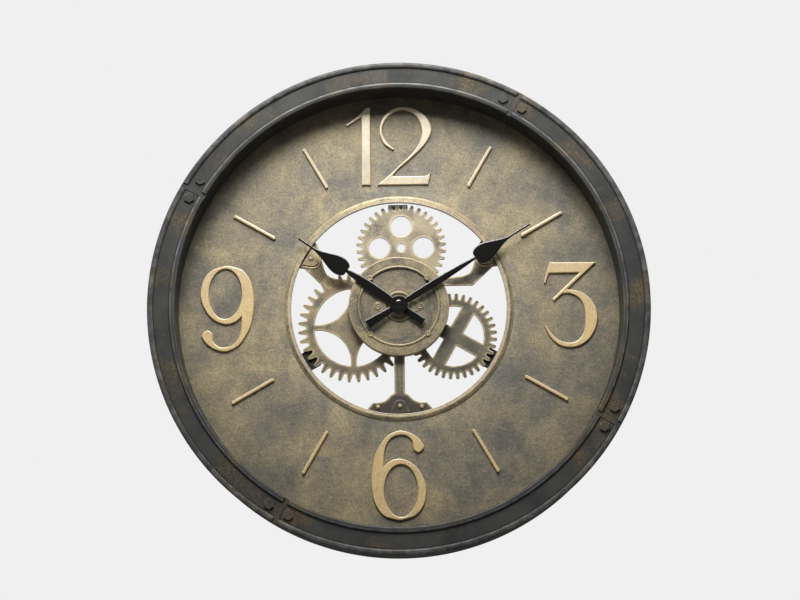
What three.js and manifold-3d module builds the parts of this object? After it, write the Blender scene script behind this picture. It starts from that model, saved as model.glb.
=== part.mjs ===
// Wall clock with an open centre of decorative gears, driven by a quartz movement.
// Millimetres. X runs right, Z up, Y from the front towards the wall.
// The origin is on the hand axis, halfway through the depth of the rim.
import * as THREE from 'three';
import { mergeVertices } from 'three/addons/utils/BufferGeometryUtils.js';
import Module from 'manifold-3d';

const wasm = await Module();
wasm.setup();

// Fits
const SEAT_GAP = 0.3; // between pieces that are fastened together
const RUN_GAP = 0.08; // radial, between a shaft and its bore
const PUSH_GAP = 0.1; // radial, between a hand and the pipe it is pushed on
const OVERSHOOT = 1; // cutting tools and joined roots reach this far past a face

// Rim
const RIM_DEPTH = 60;
const RIM_WALL = 2;
const BAND_WIDTH = 16.3;
const BAND_RECESS = 2.2; // the band lies this far behind the beads
const BEAD_WIDTH = 5.6;
const BEAD_CHAMFER = 0.8;
const DIAL_LIP_WIDTH = 9.5;
const RIM_FACETS = 60;
const FIRST_JOINT = 30; // clock angle, the other joints follow every quarter turn
const JOINT_GAP = 0.6;
const STRAP_WIDTH = 4.8;
const STRAP_PROUD = 0.6; // in front of the band; the beads stop at the strap
const TONGUE_END = 7.15; // tongue left beyond the bolt
const TONGUE_THICK = 2;
const TONGUE_MARGIN = 1.5; // between the tongue's edge and the beads

// Rim bolts
const BOLT_SPACE = 0.5; // between the strap and the bolt's head
const BOLT_FLATS = 9.6;
const BOLT_HEAD = 1.7;
const BOLT_SHANK_RADIUS = 3;
const BOLT_GRIP_SPARE = 3; // thread standing out behind the tongue

// Hanger
const HANGER_WIDTH = 42;
const HANGER_HEIGHT = 33;
const HANGER_THICK = 1.5;
const HANGER_INSET = 2.5; // from the rim's back edge
const HANGER_FLANGE = 17;
const KEYHOLE_RADIUS = 4.5;
const KEYHOLE_SLOT_RADIUS = 2.2;
const KEYHOLE_RISE = 9;
const KEYHOLE_EDGE = 13; // from the hanger's lower edge up to the keyhole

// Dial and the rolled ring round its opening
const DIAL_DEPTH = 31.5; // dial's front face behind the rim's front
const DIAL_THICK = 2;
const OPENING_RADIUS = 109;
const RING_WIDTH = 7;
const RING_PROUD = 2;
const RING_SLEEVE = 2.7;
const RING_GROOVE = 0.4;
const RING_SLOPE = 1; // width of the slope outside each of the ring's two ridges
const DIAL_FACETS = 60;

// Numerals and hour bars
const NUMERAL_HEIGHT = 88.5;
const NUMERAL_THICK = 1.8;
const NUMERAL_INNER_MARGIN = 9.75; // from the opening ring out to the twelve
const NUMERAL_OUTER_MARGIN = 8.25; // from the twelve out to the rim
const TWELVE_SHIFT = -8.6; // the tens digit's flag moves the pair's middle to the left
const SIX_SHIFT = -1.9;
const SIDE_SHIFT = 3.5; // the three and the nine lie this much further out
const NUMERAL_DRAWN_HEIGHT = 88.5; // height at which the outlines below are drawn
const CURVE_STEPS = 2; // facets from one drawn point to the next
const COUNTER_FACETS = 28;
const BAR_HOURS = [1, 2, 4, 5, 7, 8, 10, 11];
const BAR_LENGTH = 48.8;
const BAR_SHIFT = -0.9; // from the numerals' circle to the bars' middle
const BAR_WIDTH = 3.4;
const BAR_THICK = 2;

// Hub
const HUB_RADIUS = 50.8;
const HUB_PROUD = 5.5; // in front of the dial
const HUB_WALL = 2;
const HUB_RING_THICK = 1.2;
const HUB_RING_INNER = 39.5;
const HUB_BEAD_WIDTH = 2.5;
const HUB_BEAD_PROUD = 0.7;
const HUB_PLATE_THICK = 1.6;
const HUB_FACETS = 40;
const HUB_RIVETS = 4;
const HUB_RIVET_RADIUS = 1.7;
const BOSS_RADIUS = 15.6;
const BOSS_STEP = 3.1;
const BOSS_PROUD = 1;
const EAR_CENTRE = 21;
const EAR_SCREW_RADIUS = 3.3;
const EAR_THICK = 0.6;

// Struts; foot outlines are pairs of a distance inside the opening and a clock angle
const STRUT_THICK = 2;
const SIDE_STRUT_AT = 60; // clock angle of the right strut's foot; the left one's mirrors it
const STRUT_POST_HALF = 5.3;
const STRUT_ENTRY = 4.8; // length inside the hub wall
const ARM_LOW = 22; // lower and upper edge of the side struts' arms
const ARM_HIGH = 31;
const FOOT_OVERLAP = 4.7; // foot reaching behind the dial past the opening
const BOTTOM_FOOT = [[19.6, 174.9], [13.5, 171.6], [10.2, 168.3], [8.4, 164.6], [0, 162.3]];
const BOTTOM_FOOT_END = 161.5;
const BOTTOM_POST_END = 21.5; // from the opening in to where the post widens
const SIDE_ARM_END = 30.8; // from the opening in to where the arm's lower edge bends
const SIDE_FOOT_LOWER = [[4.4, 66.6], [0.5, 67.2]];
const SIDE_FOOT_UPPER = [[0.9, 51], [10.2, 54.1], [17.8, 58.2], [23.1, 61.5], [27.5, 63.6], [31.2, 64.1]];
const SIDE_FOOT_ENDS = [67, 51];
const SIDE_ROOT = 55; // from the hand axis out to where the arm's upper edge bends
const RIVET_RADIUS = 2.2;
const RIVET_PROUD = 1.7;
const SIDE_RIVET_INSET = 6.2; // rivets' distances inside the opening
const BOTTOM_RIVET_INSET = 8.2;
const FOOT_RIVET_INSET = 5.2;
const FOOT_RIVET_TURN = 12.2; // outer rivets of the bottom foot, from its middle
const ARCH_THICK = 0.8;
const ARCH_HALF = 9.6;
const ARCH_SWELL = 6.7; // half width of the arch's round shoulders
const ARCH_HEIGHT = 13.8;
const ARCH_EDGE = 0.8; // from the arch's foot in to the opening ring

// Decorative gears: clock angle of the centre, its distance outside the hub, tip radius, turn,
// tooth length and tooth widths as shares of the pitch
const GEAR_THICK = 2.2;
const GEAR_TEETH = 36;
const GEAR_FACETS = 48;
const TOP_GEAR = {
  angle: 2.8, out: 12.3, tip: 46, turn: 0,
  tooth: 5.7, tipShare: 0.36, rootShare: 0.72,
};
const LEFT_GEAR = {
  angle: 247.1, out: -0.9, tip: 56.3, turn: 0,
  tooth: 8.2, tipShare: 0.26, rootShare: 0.74,
};
const RIGHT_GEAR = {
  angle: 118.4, out: 11.5, tip: 44.2, turn: 30,
  tooth: 6.2, tipShare: 0.42, rootShare: 0.72,
};
const TOP_GEAR_BORE = 4.2;
const TOP_GEAR_HOLE = 10.7;
const TOP_GEAR_HOLE_PITCH = 22.5;
const TOP_GEAR_HOLES_AT = [0, 90, 270]; // clock angles about the gear's axis
const LEFT_GEAR_RIM = 8.4; // between the tooth roots and the openings
const LEFT_GEAR_LENS_RADIUS = 32.9;
const LEFT_GEAR_LENS_PITCH = 50.6;
const LEFT_GEAR_LENSES_AT = [45, 135, 225, 315];
const RIGHT_GEAR_RIM = 7.3;
const RIGHT_GEAR_SPOKE = 14.5;
const TAB_THICK = 1.5;
const RIGHT_TAB_AT = 120; // clock angles of the two lower tabs
const LEFT_TAB_AT = 240;
const TAB_WIDTH = 20;
const TAB_LENGTH = 12;
const TAB_FOOT = 9;

// Hands: lengths from the hand axis to the tip, the spade's foot, the arm's widest place and the tail's
// end, and half widths at the tip, of the spade, at its foot, of the arm, at its root and of the tail
const HAND_THICK = 1.2;
const HAND_SPACE = 0.5; // free depth between one hand and the next piece
const MINUTE_HAND = {
  tip: 157.5, spade: 91.5, swell: 38, tail: 37.5,
  point: 1, lobe: 9.6, neck: 1.3, arm: 3.6, root: 2.9, tailHalf: 4.6,
};
const HOUR_HAND = {
  tip: 123, spade: 63.5, swell: 33, tail: 30,
  point: 1.1, lobe: 9.4, neck: 1.9, arm: 4.5, root: 3.4, tailHalf: 3.8,
};
const HAND_BOSS_RADIUS = 7.2;
const HAND_FACETS = 5; // on each curve of a hand's outline
// Spade's outline in lobes: how far past its foot it is widest, and from there to where the point begins
const SPADE_WIDEST = 1.05;
const SPADE_TAPER = 3.5;
const MINUTE_HAND_ANGLE = 58.4;
const HOUR_HAND_ANGLE = 304.9;
const CAP_RADIUS = 9;
const CAP_HEIGHT = 3;
const CAP_TURNS = [25, 50, 70, 90]; // from the cap's top down its round side, in degrees

// Quartz movement
const CASE_WALL = 1.6;
const PARTITION = 0.8; // between the wheels and the battery
const ARBOR_RADIUS = 1.6; // minute arbor
const PIPE_WALL = 0.92; // hour pipe round the arbor
const BUSH_WALL = 1.32; // threaded bush round the pipe
const NUT_WALL = 1.4; // from the bush out to the nut's flats
const NUT_THICK = 1.5;
const BUSH_SPARE = 1; // thread standing out in front of the nut
const BUSH_FACETS = 20;
const PIVOT_RADIUS = 0.6;
const PIVOT_ENTRY = 0.8; // pivot length inside the case wall
const PIVOT_SPARE = 0.3; // free depth past the pivot's end
const PIVOT_FACETS = 12;
const STUD_RADIUS = 0.7; // the minute wheel turns on this stud
const WHEEL_THICK = 1.1;
const LEVEL_PITCH = 1.8;
const FIRST_LEVEL = 0.4; // behind the inside of the case front
const LAST_LEVEL = 5;
const BATTERY_RADIUS = 7.25;
const BATTERY_LENGTH = 49;
const BATTERY_NUB_RADIUS = 2.7;
const BATTERY_NUB = 1.5;
const BATTERY_FACETS = 20;
const CONTACT_THICK = 0.7;
const CONTACT_HALF = 5;
const KNOB_RADIUS = 6;
const KNOB_THICK = 3.4;
const KNOB_FLUTES = 12;
const KNOB_FLUTE_DEPTH = 0.5;
const SHAFT_RADIUS = 1.2;
const COIL_RADIUS = 3.1;
const COIL_LENGTH = 24;
const COIL_FLANGE = 1;
const COIL_STEP = 0.45; // the winding lies this far inside its flanges
const COIL_SPARE = 2; // between the setting shaft and the coil
const STATOR_THICK = 0.9;
const STATOR_RIM = 2.4;
const STATOR_AIR = 0.5;
const ROTOR_RADIUS = 2.8;
const ROTOR_THICK = 2;
const ROTOR_SPARE = 2; // free depth behind the rotor
const BOARD_THICK = 1;
const BOARD_SPARE = 1; // between the setting shaft and the circuit board
const BOARD_RISE = 3; // between the third wheel's pivot and the circuit board

// Teeth inside the movement, as shares of the module or of the pitch
const ADDENDUM = 0.8;
const DEDENDUM = 1.1;
const ROOT_SHARE = 0.74;

// Tooth counts and modules of each meshing pair
const CANNON = { pinion: 10, wheel: 30, module: 0.45 };
const HOUR = { pinion: 8, wheel: 32 };
const SETTING_TEETH = 10;
const CENTRE = { pinion: 6, wheel: 48, module: 0.4 };
const THIRD = { pinion: 6, wheel: 45 };
const SECONDS = { pinion: 6, wheel: 30, module: 0.62 };
const STEP = { pinion: 6, wheel: 36, module: 0.42 };

// Clock angles at which each axis lies from the one that it meshes with
const MINUTE_WHEEL_AT = 0;
const SETTING_AT = 30;
const THIRD_AT = 75;
const INTERMEDIATE_AT = 290;
const ROTOR_AT = 330;

// Radii that follow from the sizes above
const NUMERAL_RADIUS = OPENING_RADIUS + RING_WIDTH + NUMERAL_INNER_MARGIN + NUMERAL_HEIGHT / 2;
const RIM_INNER = NUMERAL_RADIUS + NUMERAL_HEIGHT / 2 + NUMERAL_OUTER_MARGIN;
const RIM_RADIUS = RIM_INNER + BAND_WIDTH + 2 * BEAD_WIDTH;
const BAND_RADIUS = RIM_INNER + BEAD_WIDTH + BAND_WIDTH / 2;
const BOLT_OFFSET = STRAP_WIDTH + BOLT_SPACE + BOLT_FLATS / Math.sqrt(3);
const HUB_INNER = HUB_RADIUS - HUB_WALL;
const STRUT_INNER_RADIUS = HUB_INNER - STRUT_ENTRY;
const PIPE_RADIUS = ARBOR_RADIUS + RUN_GAP + PIPE_WALL;
const BUSH_RADIUS = PIPE_RADIUS + RUN_GAP + BUSH_WALL;
const TRAIN_RADIUS = Math.max(
  (CENTRE.wheel / 2 + ADDENDUM) * CENTRE.module, (SECONDS.wheel / 2 + ADDENDUM) * SECONDS.module,
);
const BATTERY_HALF = (BATTERY_LENGTH + BATTERY_NUB) / 2;
const BATTERY_Z = -TRAIN_RADIUS - PARTITION - 2 * SEAT_GAP - BATTERY_RADIUS;

// Depths that follow from the sizes above
const BAND_BACK = BAND_RECESS + RIM_WALL;
const DIAL_BACK = DIAL_DEPTH + DIAL_THICK;
const DIAL_SEAT = DIAL_DEPTH - SEAT_GAP;
const STRUT_FRONT = DIAL_BACK + SEAT_GAP;
const STRUT_BACK = STRUT_FRONT + STRUT_THICK;
const HUB_BACK = STRUT_BACK + SEAT_GAP;
const GEAR_FRONT = HUB_BACK + SEAT_GAP;
const TAB_FRONT = GEAR_FRONT + GEAR_THICK + SEAT_GAP;
const HUB_FRONT = DIAL_DEPTH - HUB_PROUD;
const HUB_PLATE_FRONT = HUB_FRONT + HUB_RING_THICK + SEAT_GAP;
const HUB_PLATE_BACK = HUB_PLATE_FRONT + HUB_PLATE_THICK;
const NUT_FRONT = HUB_PLATE_FRONT - SEAT_GAP - NUT_THICK;
const BUSH_FRONT = NUT_FRONT - BUSH_SPARE;
const HOUR_HAND_FRONT = BUSH_FRONT - HAND_SPACE - HAND_THICK;
const MINUTE_HAND_FRONT = HOUR_HAND_FRONT - HAND_SPACE - HAND_THICK;
const CAP_BACK = MINUTE_HAND_FRONT - SEAT_GAP;
const CASE_FRONT = HUB_PLATE_BACK + SEAT_GAP;
const CASE_INSIDE = CASE_FRONT + CASE_WALL;
const LAST_WHEEL_BACK = FIRST_LEVEL + LAST_LEVEL * LEVEL_PITCH + WHEEL_THICK;
const TRAIN_DEPTH = LAST_WHEEL_BACK + SEAT_GAP + ROTOR_THICK + ROTOR_SPARE;
const LID_FRONT = CASE_INSIDE + Math.max(TRAIN_DEPTH, 2 * BATTERY_RADIUS + SEAT_GAP);
const CASE_BACK = LID_FRONT + CASE_WALL;
const BATTERY_DEPTH = CASE_INSIDE + SEAT_GAP + BATTERY_RADIUS;

// Helpers

const rad = THREE.MathUtils.degToRad;
const arcDegrees = (length, radius) => THREE.MathUtils.radToDeg(length / radius);
const v2 = (x, z) => new THREE.Vector2(x, z);
const points = (list) => list.map(([x, z]) => v2(x, z));

// A clock angle runs clockwise from twelve, in degrees
const atClock = (angle, radius) => v2(radius * Math.sin(rad(angle)), radius * Math.cos(rad(angle)));

// Closed solid of a geometry, its shared corners welded and its faces turned outwards
function toSolid(geometry) {
  const bare = geometry.clone();
  bare.deleteAttribute('normal');
  bare.deleteAttribute('uv');
  const welded = mergeVertices(bare);
  const corners = welded.attributes.position.array;
  const corner = (i) => new THREE.Vector3().fromArray(corners, 3 * i);
  const index = welded.index.array;
  const kept = [];
  let volume = 0;
  for (let i = 0; i < index.length; i += 3) {
    const [a, b, c] = index.subarray(i, i + 3);
    if (a === b || b === c || c === a) continue;
    kept.push(a, b, c);
    volume += corner(a).dot(corner(b).cross(corner(c)));
  }
  if (volume < 0) kept.reverse();
  const triVerts = Uint32Array.from(kept);
  return new wasm.Manifold(new wasm.Mesh({ numProp: 3, vertProperties: corners, triVerts }));
}

function toGeometry(solid) {
  const mesh = solid.getMesh();
  const geometry = new THREE.BufferGeometry();
  geometry.setAttribute('position', new THREE.BufferAttribute(mesh.vertProperties, 3));
  geometry.setIndex(new THREE.BufferAttribute(mesh.triVerts, 1));
  return geometry;
}

const join = (solids) => solids.reduce((whole, solid) => whole.add(solid));
const cut = (solid, tools) => tools.reduce((left, tool) => left.subtract(tool), solid);

// Flat plate of an outline drawn in X and Z, from a depth backwards
function plate(shape, front, thick, curveSegments = 6) {
  const geometry = new THREE.ExtrudeGeometry(shape, { depth: thick, bevelEnabled: false, curveSegments });
  geometry.rotateX(Math.PI / 2);
  geometry.translate(0, front + thick, 0);
  return toSolid(geometry);
}

// Turned solid of a closed profile of [radius, depth], about the axis at x, z
function turned(profile, facets, x = 0, z = 0) {
  const closed = points([...profile, profile[0]]);
  return toSolid(new THREE.LatheGeometry(closed, facets).translate(x, 0, z));
}

// Round bar or bore along Y; a bore is widened so that its flats clear the radius
function rod(radius, front, back, x = 0, z = 0, facets = 16) {
  return turned([[0, front], [radius, front], [radius, back], [0, back]], facets, x, z);
}

function bore(radius, front, back, x = 0, z = 0, facets = 16) {
  return rod(radius / Math.cos(Math.PI / facets), front, back, x, z, facets);
}

function block(x0, x1, front, back, z0, z1) {
  const geometry = new THREE.BoxGeometry(x1 - x0, back - front, z1 - z0);
  return toSolid(geometry.translate((x0 + x1) / 2, (front + back) / 2, (z0 + z1) / 2));
}

const polygon = (list) => new THREE.Shape(list);

// Round opening in an outline, drawn anticlockwise
function circle(radius, x, z, facets = 36) {
  const corner = (_, i) => atClock((-360 / facets) * i, radius).add(v2(x, z));
  return new THREE.Path(Array.from({ length: facets }, corner));
}

// Low dome on a face, standing out towards the front
function dome(radius, proud, base, x, z, facets = 10) {
  const sunk = proud / 2;
  const rise = 2;
  const profile = [[0, base + sunk], [radius, base + sunk], [radius, base]];
  for (let i = 1; i < rise; i += 1) {
    const turn = (i / rise) * (Math.PI / 2);
    profile.push([radius * Math.cos(turn), base - proud * Math.sin(turn)]);
  }
  profile.push([0, base - proud]);
  return turned(profile, facets, x, z);
}

// Wedge between two clock angles, out past the rim
function sector(from, to, front, back) {
  const reach = 2 * RIM_RADIUS;
  const stations = Math.ceil((to - from) / 30);
  const outline = [v2(0, 0)];
  for (let i = 0; i <= stations; i += 1) outline.push(atClock(from + ((to - from) * i) / stations, reach));
  return plate(polygon(outline), front, back - front);
}

// Hexagonal prism with two flats upright
function hexagon(flats, front, thick, x = 0, z = 0) {
  const corner = flats / Math.sqrt(3);
  const outline = [0, 60, 120, 180, 240, 300].map((angle) => atClock(angle, corner).add(v2(x, z)));
  return plate(polygon(outline), front, thick);
}

// Outline of a toothed wheel. A tooth stands at the clock angle called phase, and its corners are
// pairs of a share of the half pitch and a radius
function toothedOutline(teeth, corners, phase, x, z) {
  const pitch = 360 / teeth;
  const outline = [];
  for (let i = 0; i < teeth; i += 1) {
    for (const [share, radius] of corners) {
      outline.push(atClock(phase + i * pitch + (share * pitch) / 2, radius).add(v2(x, z)));
    }
  }
  return polygon(outline);
}

// Small wheel or pinion of the movement, with pointed teeth
function toothed({ teeth, module, phase, x, z }, front, thick = WHEEL_THICK) {
  const tip = (teeth / 2 + ADDENDUM) * module;
  const root = (teeth / 2 - DEDENDUM) * module;
  const corners = [[-ROOT_SHARE, root], [0, tip], [ROOT_SHARE, root]];
  return plate(toothedOutline(teeth, corners, phase, x, z), front, thick);
}

// Materials

function finish(color, roughness, metalness) {
  return new THREE.MeshStandardMaterial({ color, roughness, metalness });
}
const gunmetal = finish(0x4a4b49, 0.6, 0.7);
const pewter = finish(0x877d69, 0.6, 0.6);
const paleGold = finish(0xdcc79a, 0.5, 0.5);
const brass = finish(0x988a64, 0.55, 0.7);
const darkIron = finish(0x33332f, 0.7, 0.5);
const blackPaint = finish(0x161614, 0.4, 0.2);
const blackPlastic = finish(0x1c1c1e, 0.5, 0);
const steel = finish(0xa9abad, 0.35, 1);
const brightBrass = finish(0xc9a24a, 0.3, 1);
const whitePlastic = finish(0xe4e2da, 0.5, 0);
const boardGreen = finish(0x2c6b3f, 0.6, 0);
const copper = finish(0xb4652f, 0.4, 1);
const cellWrap = finish(0x8f9aa3, 0.35, 0.3);

const clock = new THREE.Group();
clock.position.y = -RIM_DEPTH / 2;

function addPiece(name, solid, material) {
  const mesh = new THREE.Mesh(toGeometry(solid), material);
  mesh.name = name;
  clock.add(mesh);
}

// Rim segments, bolted together at four joints

const beadProfile = (inner, outer) => [
  [outer, BEAD_CHAMFER], [outer - BEAD_CHAMFER, 0], [inner + BEAD_CHAMFER, 0], [inner, BEAD_CHAMFER],
];
const rimProfile = [
  [RIM_RADIUS, RIM_DEPTH],
  ...beadProfile(RIM_RADIUS - BEAD_WIDTH, RIM_RADIUS),
  [RIM_RADIUS - BEAD_WIDTH, BAND_RECESS],
  [RIM_INNER + BEAD_WIDTH, BAND_RECESS],
  ...beadProfile(RIM_INNER, RIM_INNER + BEAD_WIDTH),
  [RIM_INNER, DIAL_SEAT],
  [RIM_INNER + DIAL_LIP_WIDTH, DIAL_SEAT],
  [RIM_INNER + DIAL_LIP_WIDTH, DIAL_SEAT - RIM_WALL],
  [RIM_INNER + RIM_WALL, DIAL_SEAT - RIM_WALL],
  [RIM_INNER + RIM_WALL, BAND_BACK],
  [RIM_RADIUS - RIM_WALL, BAND_BACK],
  [RIM_RADIUS - RIM_WALL, RIM_DEPTH],
];
const rimRing = turned(rimProfile, RIM_FACETS);
const strapFront = BAND_RECESS - STRAP_PROUD;
const flatRing = (inner, outer, front, back) => turned(
  [[inner, front], [outer, front], [outer, back], [inner, back]], RIM_FACETS,
);
const strapRing = flatRing(
  RIM_INNER + BEAD_WIDTH / 2, RIM_RADIUS - BEAD_WIDTH / 2, strapFront, BAND_RECESS + RIM_WALL / 2,
);
const beadEnds = flatRing(RIM_INNER - OVERSHOOT, RIM_RADIUS + OVERSHOOT, -OVERSHOOT, strapFront);
const tongueInner = RIM_INNER + BEAD_WIDTH + TONGUE_MARGIN;
const tongueOuter = RIM_RADIUS - BEAD_WIDTH - TONGUE_MARGIN;
const tongueBack = BAND_BACK + SEAT_GAP + TONGUE_THICK;
const tongueRing = (front) => flatRing(tongueInner, tongueOuter, front, tongueBack);
const boltAngles = [];
for (let quarter = 0; quarter < 4; quarter += 1) {
  const joint = FIRST_JOINT + 90 * quarter;
  const offset = arcDegrees(BOLT_OFFSET, BAND_RADIUS);
  boltAngles.push(joint - offset, joint + offset);
}
const boltTail = tongueBack + BOLT_GRIP_SPARE;
const boltHoles = boltAngles.map((angle) => {
  const at = atClock(angle, BAND_RADIUS);
  return bore(BOLT_SHANK_RADIUS + SEAT_GAP, 0, boltTail, at.x, at.y, PIVOT_FACETS);
});

// Strap in place of the beads at the end of a segment and the tongue that reaches behind its neighbour
function lapped(segment, joint, side) {
  const gap = side * arcDegrees(JOINT_GAP / 2, BAND_RADIUS);
  const span = (a, b) => sector(Math.min(a, b), Math.max(a, b), -OVERSHOOT, RIM_DEPTH);
  const strapEnd = joint + side * arcDegrees(STRAP_WIDTH, BAND_RADIUS);
  const reach = side * arcDegrees(BOLT_OFFSET + TONGUE_END, BAND_RADIUS);
  const strap = strapRing.intersect(span(joint + gap, strapEnd));
  const flattened = segment.subtract(beadEnds.intersect(span(joint, strapEnd)));
  const root = tongueRing(BAND_RECESS + RIM_WALL / 2).intersect(span(joint + gap, joint + reach));
  const tongue = tongueRing(BAND_BACK + SEAT_GAP).intersect(span(joint - reach, joint + reach));
  return join([flattened, strap, root, tongue]);
}

const rimSegments = [
  { name: 'rim_segment_right', quarter: 0, lapStart: true, lapEnd: false },
  { name: 'rim_segment_bottom', quarter: 1, lapStart: true, lapEnd: true },
  { name: 'rim_segment_left', quarter: 2, lapStart: false, lapEnd: true },
  { name: 'rim_segment_top', quarter: 3, lapStart: false, lapEnd: false },
];
for (const segment of rimSegments) {
  const from = FIRST_JOINT + 90 * segment.quarter;
  const gap = arcDegrees(JOINT_GAP / 2, BAND_RADIUS);
  let solid = rimRing.intersect(sector(from + gap, from + 90 - gap, -OVERSHOOT, RIM_DEPTH + OVERSHOOT));
  if (segment.lapStart) solid = lapped(solid, from, 1);
  if (segment.lapEnd) solid = lapped(solid, from + 90, -1);
  addPiece(segment.name, cut(solid, boltHoles), gunmetal);
}

const headBack = BAND_RECESS - SEAT_GAP;
boltAngles.forEach((angle, i) => {
  const at = atClock(angle, BAND_RADIUS);
  const head = hexagon(BOLT_FLATS, headBack - BOLT_HEAD, BOLT_HEAD, at.x, at.y);
  const shank = rod(BOLT_SHANK_RADIUS, headBack - OVERSHOOT, boltTail, at.x, at.y, PIVOT_FACETS);
  addPiece(`rim_bolt_${i + 1}`, head.add(shank), gunmetal);
});

// Hanger: a keyhole plate with a flange under the rim's outer wall, at twelve

const hangerTop = RIM_RADIUS - RIM_WALL - SEAT_GAP;
const hangerBack = RIM_DEPTH - HANGER_INSET;
const hangerBottom = hangerTop - HANGER_HEIGHT;
const hangerBar = block(-HANGER_WIDTH / 2, HANGER_WIDTH / 2, 0, RIM_DEPTH, hangerBottom, RIM_RADIUS);
const hangerDisc = rod(hangerTop, hangerBack - HANGER_THICK, hangerBack, 0, 0, RIM_FACETS);
const hangerFlange = turned([
  [hangerTop - HANGER_THICK, hangerBack - HANGER_FLANGE], [hangerTop, hangerBack - HANGER_FLANGE],
  [hangerTop, hangerBack], [hangerTop - HANGER_THICK, hangerBack],
], RIM_FACETS);
const keyholeZ = hangerBottom + KEYHOLE_EDGE;
const keyholeTop = keyholeZ + KEYHOLE_RISE;
const keyhole = [
  bore(KEYHOLE_RADIUS, 0, RIM_DEPTH, 0, keyholeZ),
  bore(KEYHOLE_SLOT_RADIUS, 0, RIM_DEPTH, 0, keyholeTop),
  block(-KEYHOLE_SLOT_RADIUS, KEYHOLE_SLOT_RADIUS, 0, RIM_DEPTH, keyholeZ, keyholeTop),
];
addPiece('hanger', cut(hangerDisc.add(hangerFlange).intersect(hangerBar), keyhole), steel);

// Dial plate and the rolled ring round its opening

const sleeveOuter = OPENING_RADIUS + RING_SLEEVE;
const dialInner = sleeveOuter + SEAT_GAP;
const dialOuter = RIM_INNER + DIAL_LIP_WIDTH;
const dialProfile = [
  [dialInner, DIAL_DEPTH], [dialOuter, DIAL_DEPTH], [dialOuter, DIAL_BACK], [dialInner, DIAL_BACK],
];
addPiece('dial_plate', turned(dialProfile, DIAL_FACETS), pewter);

const ringOuter = OPENING_RADIUS + RING_WIDTH;
const ringFront = DIAL_DEPTH - RING_PROUD;
const ringProfile = [
  [OPENING_RADIUS, DIAL_BACK],
  [OPENING_RADIUS, ringFront + RING_SLOPE],
  [OPENING_RADIUS + RING_SLOPE, ringFront],
  [OPENING_RADIUS + RING_WIDTH / 2, ringFront + RING_GROOVE],
  [ringOuter - RING_SLOPE, ringFront],
  [ringOuter, ringFront + RING_SLOPE],
  [ringOuter, DIAL_SEAT],
  [sleeveOuter, DIAL_SEAT],
  [sleeveOuter, DIAL_BACK],
];
addPiece('opening_ring', turned(ringProfile, DIAL_FACETS), brass);

// Numerals: outlines about each numeral's own centre, at the drawn height

const oneOutline = [
  ['line', [-18.9, -42]], ['line', [-18.9, 41.5]], ['line', [-23.4, 41.5]],
  ['curve', [[-31.4, 33], [-44.4, 22.5]]],
  ['line', [-42.9, 21.5]],
  ['curve', [[-34.5, 27], [-28.4, 31.2]]],
  ['line', [-28.4, -42]],
];
const twoOutline = [
  ['curve', [[-4.5, 1.5], [-8.5, 10], [-9.8, 18], [-6, 30], [3, 39], [14.6, 42], [28.5, 39], [39.5, 30],
    [44.4, 18], [41.6, 8], [35.6, -1], [23.6, -13], [8.6, -26], [3.6, -33]]],
  ['line', [37, -33]],
  ['curve', [[41, -31.5], [43.1, -28.5]]],
  ['line', [40.1, -42]],
  ['line', [-11.9, -42]],
  ['curve', [[3.6, -28.5], [13.6, -19], [23.6, -9], [30.6, 1], [33.6, 10], [33.9, 18], [28.6, 31.5],
    [14.6, 38.7], [-0.4, 31.5], [-6.9, 18], [-4.6, 8], [-0.4, 2], [5.1, -3.5]]],
  ['line', [4.1, -4.5]],
];
const threeOutline = [
  ['line', [26.7, 43.8]],
  ['line', [-3.3, 15.8]],
  ['curve', [[3.2, 15], [12.2, 12.3], [20.2, 5.8], [25.2, -3.2], [26.7, -12.2], [25.2, -21.2],
    [21.2, -30.2], [14.2, -38.2], [5.2, -42.7], [-2.8, -43.7], [-11.8, -41.7], [-20.8, -34.2],
    [-26.8, -22.2]]],
  ['line', [-25.8, -20.7]],
  ['curve', [[-21.8, -27.2], [-15.8, -34.2], [-8.8, -38], [-2.8, -39], [4.2, -37.7], [10.2, -32.2],
    [13.2, -24.2], [14.2, -12.2], [13.2, -2.2], [10.2, 4.8], [5.2, 9.3], [-1.8, 11.8], [-8.3, 11.3]]],
  ['line', [-16.8, 3.8]],
  ['line', [-18.3, 6.3]],
  ['line', [10.2, 33.1]],
  ['line', [-21.3, 32.8]],
  ['line', [-24.8, 22.8]],
  ['line', [-26.6, 23.3]],
  ['line', [-20.3, 44]],
];
const nineOutline = [
  ['curve', [[14.8, 39.8], [24.3, 25.8], [27.3, 5.8], [24.8, -15.2], [19.8, -27.2], [11.8, -38.2],
    [2.8, -43.2], [-3.2, -44.2], [-12.2, -41.7], [-20.2, -36.2], [-24.6, -30.2], [-25, -26.7], [-19.7, -22],
    [-14.6, -26.2], [-13.7, -33.2], [-9.2, -38.2], [-3.2, -39.9], [4.8, -38.2], [10.8, -32.2],
    [14, -22.2], [14.8, -8.2]]],
  ['curve', [[8.8, -13.7], [-1.2, -16.2], [-13.2, -11.7], [-22.2, -1.2], [-27.2, 13.8], [-24.2, 29.8],
    [-15.2, 40.3], [-0.2, 44.3]]],
];
const nineCounter = { x: -2.1, z: 15.2, halfWidth: 16.6, halfHeight: 25.9 };

// Corners of straight and curved stretches; a curve goes on smoothly through its points
function strokes(outline, size) {
  const last = outline[outline.length - 1];
  const corners = [v2(...(last[0] === 'line' ? last[1] : last[1][last[1].length - 1]))];
  for (const [kind, to] of outline) {
    if (kind === 'line') {
      corners.push(v2(...to));
    } else {
      const curve = new THREE.SplineCurve([corners[corners.length - 1], ...points(to)]);
      corners.push(...curve.getPoints(CURVE_STEPS * to.length).slice(1));
    }
  }
  return corners.slice(1).map((corner) => corner.multiplyScalar(size));
}

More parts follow.
